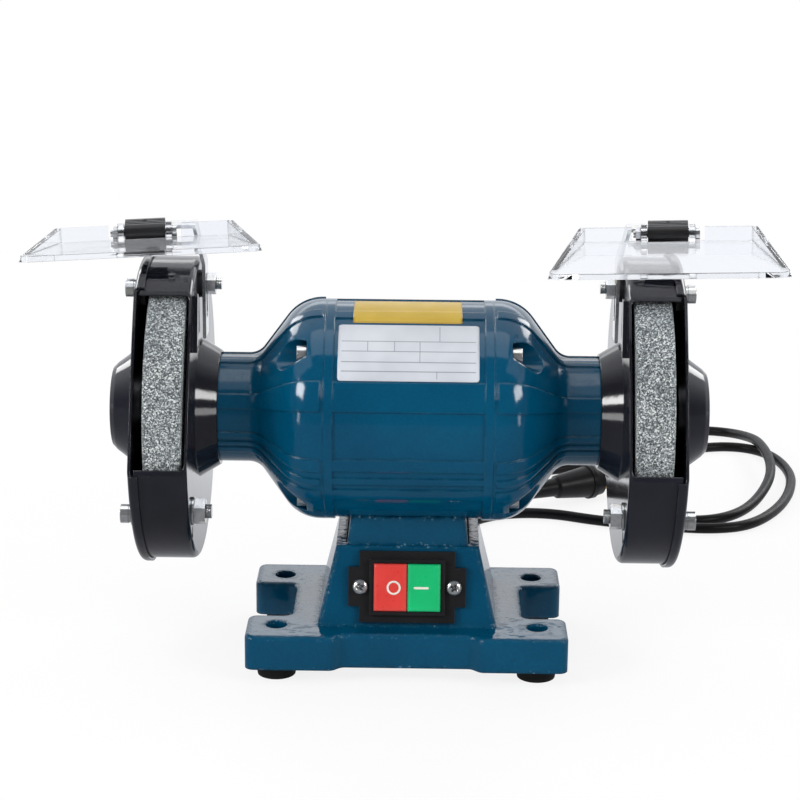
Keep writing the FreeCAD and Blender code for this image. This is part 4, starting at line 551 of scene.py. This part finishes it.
def clamped(value):
    return min(max(value, 0.0), 1.0)


# Bare rating plate and sticker on the motor shell; angles run up from the front

PANEL_RADIUS = 47.3 * MM
RIB_HEIGHT = 0.7 * MM
RIB_ANGLE, RIB_REACH, RIB_FLANK = 73.0, 4.6, 1.3  # degrees
LABEL_COLUMNS, LABEL_ROWS, CORNER_ROWS = 48, 36, 6


def shell_point(x, angle, radius):
    return Vector((x, -radius * math.cos(angle), AXIS_HEIGHT + radius * math.sin(angle)))


def on_panel(angle):
    return PANEL_RADIUS


def over_rib(angle):
    """Shell radius under the sticker: up and over the rib."""
    away = abs(math.degrees(angle) - RIB_ANGLE)
    return PANEL_RADIUS + RIB_HEIGHT * clamped((RIB_REACH - away) / RIB_FLANK)


def curved_label(name, x_span, degrees_span, corner, thickness, radius_at):
    """A thin plate that follows the shell, with rounded corners and a closed rim."""
    start, end = (math.radians(a) for a in degrees_span)
    width = x_span[1] - x_span[0]
    height = (end - start) * PANEL_RADIUS
    bm = bmesh.new()
    uv_layer = bm.loops.layers.uv.new(LABEL_UV)
    places = {}

    def row(distance, lift):
        near_edge = min(distance, height - distance)
        inset = 0.0
        if near_edge < corner:
            inset = corner - math.sqrt(corner**2 - (corner - near_edge) ** 2)
        angle = start + (end - start) * distance / height
        verts = []
        for i in range(LABEL_COLUMNS + 1):
            x = x_span[0] + inset + (width - 2 * inset) * i / LABEL_COLUMNS
            vert = bm.verts.new(shell_point(x, angle, radius_at(angle) + lift))
            places[vert] = ((x - x_span[0]) / width, distance / height)
            verts.append(vert)
        return verts

    def outline(layer):
        right = [r[-1] for r in layer[1:]]
        left = [r[0] for r in layer[-2:0:-1]]
        return layer[0] + right + layer[-1][-2::-1] + left

    round_part = [
        corner * (1 - math.cos(math.pi / 2 * k / CORNER_ROWS)) for k in range(CORNER_ROWS)
    ]
    straight_part = [
        corner + (height - 2 * corner) * k / LABEL_ROWS for k in range(LABEL_ROWS + 1)
    ]
    distances = round_part + straight_part + [height - d for d in reversed(round_part)]
    face = [row(d, thickness) for d in distances]
    back = [row(d, 0.0) for d in distances]
    for layer in (face, back):
        for low, high in zip(layer, layer[1:]):
            for i in range(LABEL_COLUMNS):
                bm.faces.new((low[i], low[i + 1], high[i + 1], high[i]))
    bridge(bm, outline(face), outline(back))
    for polygon in bm.faces:
        for loop in polygon.loops:
            loop[uv_layer].uv = places[loop.vert]
    return mesh_of(name, bm)


plate_mesh = curved_label(
    "rating_plate", (-30.1 * MM, 29.3 * MM), (30.0, 64.3), 1.3 * MM, 0.25 * MM, on_panel
)
piece("rating_plate", plate_mesh, rating_foil(), "base")
sticker_mesh = curved_label(
    "plain_sticker", (-24.2 * MM, 22.2 * MM), (66.2, 96.0), 0.8 * MM, 0.12 * MM, over_rib
)
piece("plain_sticker", sticker_mesh, sticker_film(), "base")

# Marks on the switch buttons

SLOPE = math.radians(13.2)
OUTWARD = Vector((0.0, -math.cos(SLOPE), math.sin(SLOPE)))
UPWARD = Vector((0.0, math.sin(SLOPE), math.cos(SLOPE)))
RIGHT = Vector((1.0, 0.0, 0.0))
PRINT_HEIGHT, PRINT_SINK = 0.14 * MM, 0.05 * MM


def face_of(node, low=-1.0, high=1.0):
    """The middle of a node's outer face, from its points with X between low and high."""
    points = [v.co for v in NODES[node].data.vertices if low < v.co.x < high]
    out = max(p.dot(OUTWARD) for p in points)
    ups = [p.dot(UPWARD) for p in points]
    sides = [p.x for p in points]
    middle = (min(ups) + max(ups)) / 2
    return RIGHT * ((min(sides) + max(sides)) / 2) + UPWARD * middle + OUTWARD * out


def printed_ring(name, centre, outer, width):
    """A raised print in the shape of a ring."""
    bm = bmesh.new()
    around, across = 64, 8
    flatness = 2.2  # makes the top of the print flat and its sides steep
    loops = []
    for i in range(around):
        turn = 2 * math.pi * i / around
        direction = RIGHT * math.cos(turn) + UPWARD * math.sin(turn)
        loop = []
        for k in range(across + 1):
            bow = math.pi * k / across
            radius = outer - width / 2 + width / 2 * math.cos(bow)
            lift = PRINT_HEIGHT * min(1.0, flatness * math.sin(bow)) - PRINT_SINK
            loop.append(bm.verts.new(centre + direction * radius + OUTWARD * lift))
        loops.append(loop)
    for i in range(around):
        bridge(bm, loops[i], loops[(i + 1) % around])
    return mesh_of(name, bm)


def printed_bar(name, centre, length, width):
    """A raised print in the shape of a bar with rounded ends."""
    bm = bmesh.new()
    steps = 10
    outline = []
    for sign in (1, -1):
        for k in range(steps + 1):
            turn = math.pi * k / steps - math.pi / 2
            along = sign * ((length - width) / 2 + width / 2 * math.cos(turn))
            outline.append((along, sign * width / 2 * math.sin(turn)))
    layers = []
    for share, lift in ((1.0, -PRINT_SINK), (1.0, PRINT_HEIGHT * 0.6), (0.82, PRINT_HEIGHT)):
        layer = []
        for along, up in outline:
            inset = math.copysign(width / 2 * (1 - share), along)
            flat = RIGHT * (along - inset) + UPWARD * up * share
            layer.append(bm.verts.new(centre + flat + OUTWARD * lift))
        layers.append(layer)
    for low, high in zip(layers, layers[1:]):
        bridge(bm, low, high)
    bm.faces.new(layers[-1])
    bm.faces.new(layers[0])
    return mesh_of(name, bm, smooth=False)


print_white = moulded("print_white", "#e6ddd0", "#f0e8dd", "#fbf7f0", 0.4, 0.05 * MM)
ring_centre = face_of("off_button") + RIGHT * 1.5 * MM
ring_mesh = printed_ring("off_mark", ring_centre, 3.1 * MM, 0.95 * MM)
piece("off_mark", ring_mesh, print_white, "off_key")
bar_centre = face_of("on_button") - RIGHT * 1.2 * MM
bar_mesh = printed_bar("on_mark", bar_centre, 6.6 * MM, 1.0 * MM)
piece("on_mark", bar_mesh, print_white, "on_key")

# Pan-head screws of the switch plate; heights run outward from under the head

HEAD_RADIUS, HEAD_HEIGHT = 3.25 * MM, 2.5 * MM
RIM_HEIGHT, RIM_CHAMFER = 0.42 * HEAD_HEIGHT, 0.08 * MM
SHANK_RADIUS, SHANK_LENGTH = 1.5 * MM, 10.0 * MM
TIP_LENGTH, THREAD_START, THREAD_MARGIN = 0.2 * MM, 0.8 * MM, 1.5 * MM
THREAD_PITCH, ROOT_RADIUS = 0.5 * MM, SHANK_RADIUS * 0.84
CROSS_REACH, CROSS_WIDTH, CROSS_DEPTH = 1.75 * MM, 0.5 * MM, 1.3 * MM
CROSS_SIDE_SLOPE, CROSS_END_SLOPE = 0.12 * MM, 0.5 * MM


def screw_profile(dome_steps):
    """Radius and height from the tip to the top of the dome."""
    profile = [
        (0.3 * SHANK_RADIUS, -SHANK_LENGTH),
        (0.7 * SHANK_RADIUS, -SHANK_LENGTH + TIP_LENGTH),
    ]
    for k in range(int((SHANK_LENGTH - THREAD_MARGIN) / THREAD_PITCH)):
        low = -SHANK_LENGTH + THREAD_START + k * THREAD_PITCH
        profile += [(ROOT_RADIUS, low), (SHANK_RADIUS, low + THREAD_PITCH / 2)]
    profile += [
        (SHANK_RADIUS, 0.0),
        (HEAD_RADIUS * 0.96, 0.0),
        (HEAD_RADIUS, RIM_CHAMFER),
        (HEAD_RADIUS, RIM_HEIGHT * 0.9),
    ]
    for k in range(dome_steps):
        bow = math.pi / 2 * k / dome_steps
        height = RIM_HEIGHT + (HEAD_HEIGHT - RIM_HEIGHT) * math.sin(bow)
        profile.append((HEAD_RADIUS * math.cos(bow), height))
    return profile


def cross_depth(u, v):
    """Depth of the cross recess at a place on the head."""

    def slot(across, along):
        side = clamped((CROSS_WIDTH - abs(across)) / CROSS_SIDE_SLOPE)
        end = clamped((CROSS_REACH - abs(along)) / CROSS_END_SLOPE)
        return CROSS_DEPTH * min(side, end)

    return max(slot(u, v), slot(v, u))


def pan_screw(bm, top, turn):
    """One screw: threaded shank, domed head and a cross recess turned by an angle."""
    around, dome_steps = 96, 22
    profile = screw_profile(dome_steps)
    first_dome = len(profile) - dome_steps
    first_axis = RIGHT * math.cos(turn) + UPWARD * math.sin(turn)
    second_axis = UPWARD * math.cos(turn) - RIGHT * math.sin(turn)

    def vert(radius, height, angle, recessed):
        u, v = radius * math.cos(angle), radius * math.sin(angle)
        if recessed:
            height -= cross_depth(u, v)
        flat = first_axis * u + second_axis * v
        return bm.verts.new(top + flat + OUTWARD * (height - HEAD_HEIGHT))

    rings = [
        [vert(radius, height, 2 * math.pi * i / around, k >= first_dome) for i in range(around)]
        for k, (radius, height) in enumerate(profile)
    ]
    for low, high in zip(rings, rings[1:]):
        bridge(bm, low, high)
    tip = vert(0.0, -SHANK_LENGTH, 0.0, False)
    crown = vert(0.0, HEAD_HEIGHT, 0.0, True)
    for i in range(around):
        j = (i + 1) % around
        bm.faces.new((rings[0][j], rings[0][i], tip))
        bm.faces.new((rings[-1][i], rings[-1][j], crown))


screw_bm = bmesh.new()
pan_screw(screw_bm, face_of("switch_screws", high=0.0), math.radians(28.0))
pan_screw(screw_bm, face_of("switch_screws", low=0.0), math.radians(62.0))
screw_mesh = mesh_of("switch_pan_screws", screw_bm)
screws = piece("switch_pan_screws", screw_mesh, zinc_plate, "base")
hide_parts("switch_screws")

# Mains cord, from the strain relief to the plug, in millimetres

LAID = 2.8  # height of the centre line where the cord lies on the bench
CORD_ROUTE = (
    (15.0, 79.0, 15.0),
    (15.0, 99.0, 14.0),
    (16.0, 120.0, 9.0),
    (19.0, 140.0, 4.2),
    (25.0, 157.0, LAID),
    (42.0, 179.0, LAID),
    (71.0, 184.0, LAID),
    (101.0, 170.0, LAID),
    (129.7, 163.9, LAID),
    (157.0, 159.9, LAID),
    (178.0, 166.6, LAID),
    (195.7, 191.8, LAID),
    (208.1, 224.2, LAID),
    (214.1, 259.9, LAID),
    (207.3, 296.4, LAID),
    (188.2, 310.3, LAID),
    (160.7, 302.9, LAID),
    (141.0, 285.0, LAID),
    (138.0, 252.0, LAID),
    (119.0, 216.0, LAID),
    (122.6, 187.3, LAID),
    (143.6, 171.1, LAID),
    (168.5, 177.9, LAID),
    (187.2, 205.6, 3.0),
    (202.0, 245.0, 8.4),
    (201.8, 292.2, 10.6),
    (195.0, 328.0, 4.6),
    (177.9, 341.4, LAID),
    (152.6, 340.2, LAID),
    (136.0, 322.0, LAID),
    (122.0, 293.0, LAID),
    (104.0, 271.0, LAID),
    (80.0, 258.0, LAID),
    (53.0, 252.0, LAID),
    (25.0, 248.0, LAID),
    (2.5, 235.5, LAID),
    (-4.0, 210.5, 3.0),
    (9.0, 188.0, 4.0),
    (34.0, 181.5, 8.4),
    (55.5, 194.0, 9.4),
)
CORD_DIAMETER = 5.5 * MM

line = bpy.data.curves.new("mains_cord", "CURVE")
line.dimensions = "3D"
line.bevel_depth = CORD_DIAMETER / 2
line.bevel_resolution = 6
line.resolution_u = 16
line.use_fill_caps = True
spline = line.splines.new("NURBS")
spline.points.add(len(CORD_ROUTE) - 1)
for point, at in zip(spline.points, CORD_ROUTE):
    point.co = (*(value * MM for value in at), 1.0)
spline.order_u = 3
spline.use_endpoint_u = True
sheath = rubber("cord_sheath", "#070708", "#101012", 0.3, 0.48, 0.16)
cord = piece("mains_cord", line, sheath, "base")
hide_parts("power_cord")

# Studio: pale floor, white surroundings, soft lamps

FLOOR_REACH, FLOOR_STEPS = 12.0, 24
FLOOR_WHITE = (0.35, 0.9, 0.84, 1.0)  # distances from the machine, share of plain white there
FLOOR_MIRRORED = (-0.05, 0.25, 0.22, 1.0)  # places along Y, brightness in reflections there
WALL_MIRRORED = (-0.1, 0.35, 0.1, 1.0)  # directions along Y, brightness in reflections there
ROOM_LIGHT = 0.5
MACHINE = (0.0, 0.0, 0.1)
LAMPS = (  # name, place, width and height, watts
    ("top_softbox", (0.0, -0.05, 1.5), (1.1, 0.8), 4.0),
    ("left_softbox", (-1.05, -0.75, 0.72), (0.5, 0.3), 8.8),
    ("right_softbox", (1.05, -0.75, 0.72), (0.5, 0.3), 6.4),
    ("left_strip", (-1.05, -0.76, 0.16), (0.14, 0.22), 0.55),
    ("right_strip", (1.05, -0.76, 0.16), (0.14, 0.22), 0.45),
    ("rear_softbox", (0.0, 3.0, 1.25), (3.4, 0.45), 5.5),
    ("left_rear_softbox", (-1.1, 1.2, 0.9), (0.6, 0.6), 6.5),
    ("right_rear_softbox", (1.1, 1.2, 0.9), (0.6, 0.6), 6.5),
)


def linked(tree, kind, *values, **settings):
    """A node whose inputs are set, or linked where a socket is given."""
    node = tree.nodes.new(kind)
    for key, value in settings.items():
        setattr(node, key, value)
    for socket, value in zip(node.inputs, values):
        if isinstance(value, bpy.types.NodeSocket):
            tree.links.new(value, socket)
        else:
            socket.default_value = value
    return node


def seen_directly(tree, path):
    """1 for what the camera sees, also through clear plastic, and 0 for the rest."""
    camera_ray, passed = path["Is Camera Ray"], path["Transmission Depth"]
    seen = linked(tree, "ShaderNodeMath", camera_ray, passed, operation="MAXIMUM")
    return linked(tree, "ShaderNodeMath", seen.outputs[0], 1.0, operation="MINIMUM").outputs[0]


def mirrored_tint(tree, glossy):
    """White where it is seen, slightly cool where it is mirrored."""
    tint = tree.nodes.new("ShaderNodeMix")
    tint.data_type = "RGBA"
    tree.links.new(glossy, tint.inputs["Factor"])
    tint.inputs["A"].default_value = (1.0, 1.0, 1.0, 1.0)
    tint.inputs["B"].default_value = paint("#f9fbff")
    return tint.outputs["Result"]


def studio_floor():
    """A matt floor that looks nearly white and still takes the shadow."""
    bm = bmesh.new()
    bmesh.ops.create_grid(bm, x_segments=FLOOR_STEPS, y_segments=FLOOR_STEPS, size=FLOOR_REACH)
    mesh = bpy.data.meshes.new("studio_floor")
    bm.to_mesh(mesh)
    bm.free()
    floor = bpy.data.objects.new("studio_floor", mesh)
    bpy.context.scene.collection.objects.link(floor)
    material = bpy.data.materials.new("studio_floor")
    material.use_nodes = True
    tree = material.node_tree
    tree.nodes.clear()
    path = tree.nodes.new("ShaderNodeLightPath").outputs
    glossy = path["Is Glossy Ray"]
    direct = seen_directly(tree, path)
    place = tree.nodes.new("ShaderNodeTexCoord").outputs["Object"]
    away = linked(tree, "ShaderNodeVectorMath", place, operation="LENGTH").outputs["Value"]
    behind = linked(tree, "ShaderNodeSeparateXYZ", place).outputs["Y"]
    white = linked(tree, "ShaderNodeMapRange", away, *FLOOR_WHITE).outputs[0]
    mirrored = linked(tree, "ShaderNodeMapRange", behind, *FLOOR_MIRRORED).outputs[0]
    plain = linked(tree, "ShaderNodeMath", direct, white, operation="MULTIPLY").outputs[0]
    share = linked(tree, "ShaderNodeMath", plain, glossy, operation="MAXIMUM").outputs[0]
    dim = linked(tree, "ShaderNodeMapRange", direct, 0.0, 1.0, mirrored, 1.0).outputs[0]
    strength = linked(tree, "ShaderNodeMapRange", glossy, 0.0, 1.0, 1.0, dim).outputs[0]
    matte = linked(tree, "ShaderNodeBsdfDiffuse", paint("#f4f4f5")).outputs[0]
    tint = mirrored_tint(tree, glossy)
    glow = linked(tree, "ShaderNodeEmission", tint, strength).outputs[0]
    blend = linked(tree, "ShaderNodeMixShader", share, matte, glow).outputs[0]
    linked(tree, "ShaderNodeOutputMaterial", blend)
    mesh.materials.append(material)


def surroundings():
    """White where they are seen; in reflections a dark room in front and a white wall behind."""
    world = bpy.data.worlds.new("studio")
    bpy.context.scene.world = world
    world.use_nodes = True
    tree = world.node_tree
    path = tree.nodes.new("ShaderNodeLightPath").outputs
    glossy = path["Is Glossy Ray"]
    direct = seen_directly(tree, path)
    direction = tree.nodes.new("ShaderNodeTexCoord").outputs["Generated"]
    behind = linked(tree, "ShaderNodeSeparateXYZ", direction).outputs["Y"]
    wall = linked(tree, "ShaderNodeMapRange", behind, *WALL_MIRRORED).outputs[0]
    light = linked(tree, "ShaderNodeMapRange", glossy, 0.0, 1.0, ROOM_LIGHT, wall).outputs[0]
    level = linked(tree, "ShaderNodeMath", direct, light, operation="MAXIMUM").outputs[0]
    background = tree.nodes["Background"]
    tree.links.new(mirrored_tint(tree, glossy), background.inputs["Color"])
    tree.links.new(level, background.inputs["Strength"])


def lamp(name, place, size, power):
    """A soft lamp that faces the machine."""
    data = bpy.data.lights.new(name, "AREA")
    data.shape = "RECTANGLE"
    data.size, data.size_y = size
    data.energy = power
    light = bpy.data.objects.new(name, data)
    light.location = place
    aim = Vector(MACHINE) - Vector(place)
    light.rotation_euler = aim.to_track_quat("-Z", "Y").to_euler()
    bpy.context.scene.collection.objects.link(light)


studio_floor()
surroundings()
for lamp_settings in LAMPS:
    lamp(*lamp_settings)

# Camera, fitted to the photograph's frame

FOCAL_PIXELS = 2194.107
PICTURE = 800
SENSOR = 36.0
DISTANCE = 960.324 * MM
PITCH, YAW, ROLL = (math.radians(a) for a in (15.752, -0.607, 0.551))
AIM_U, AIM_V = 409.466, 409.235  # where the middle of the shaft falls in the picture

tilt = Matrix.Rotation(ROLL, 3, "Y") @ Matrix.Rotation(PITCH, 3, "X")
turn = tilt @ Matrix.Rotation(YAW, 3, "Z")
offset = Vector((
    (AIM_U - PICTURE / 2) / FOCAL_PIXELS * DISTANCE,
    DISTANCE,
    -(AIM_V - PICTURE / 2) / FOCAL_PIXELS * DISTANCE,
))
eye = -(turn.transposed() @ offset) + Vector((0.0, 0.0, AXIS_HEIGHT))
lens = bpy.data.cameras.new("camera")
lens.sensor_width = SENSOR
lens.lens = SENSOR * FOCAL_PIXELS / PICTURE
lens.clip_start = 0.01
camera = bpy.data.objects.new("camera", lens)
axes = Matrix((turn[0], turn[2], -turn[1])).transposed()
camera.matrix_world = Matrix.Translation(eye) @ axes.to_4x4()
bpy.context.scene.collection.objects.link(camera)
bpy.context.scene.camera = camera
bpy.context.scene.view_settings.view_transform = "Standard"
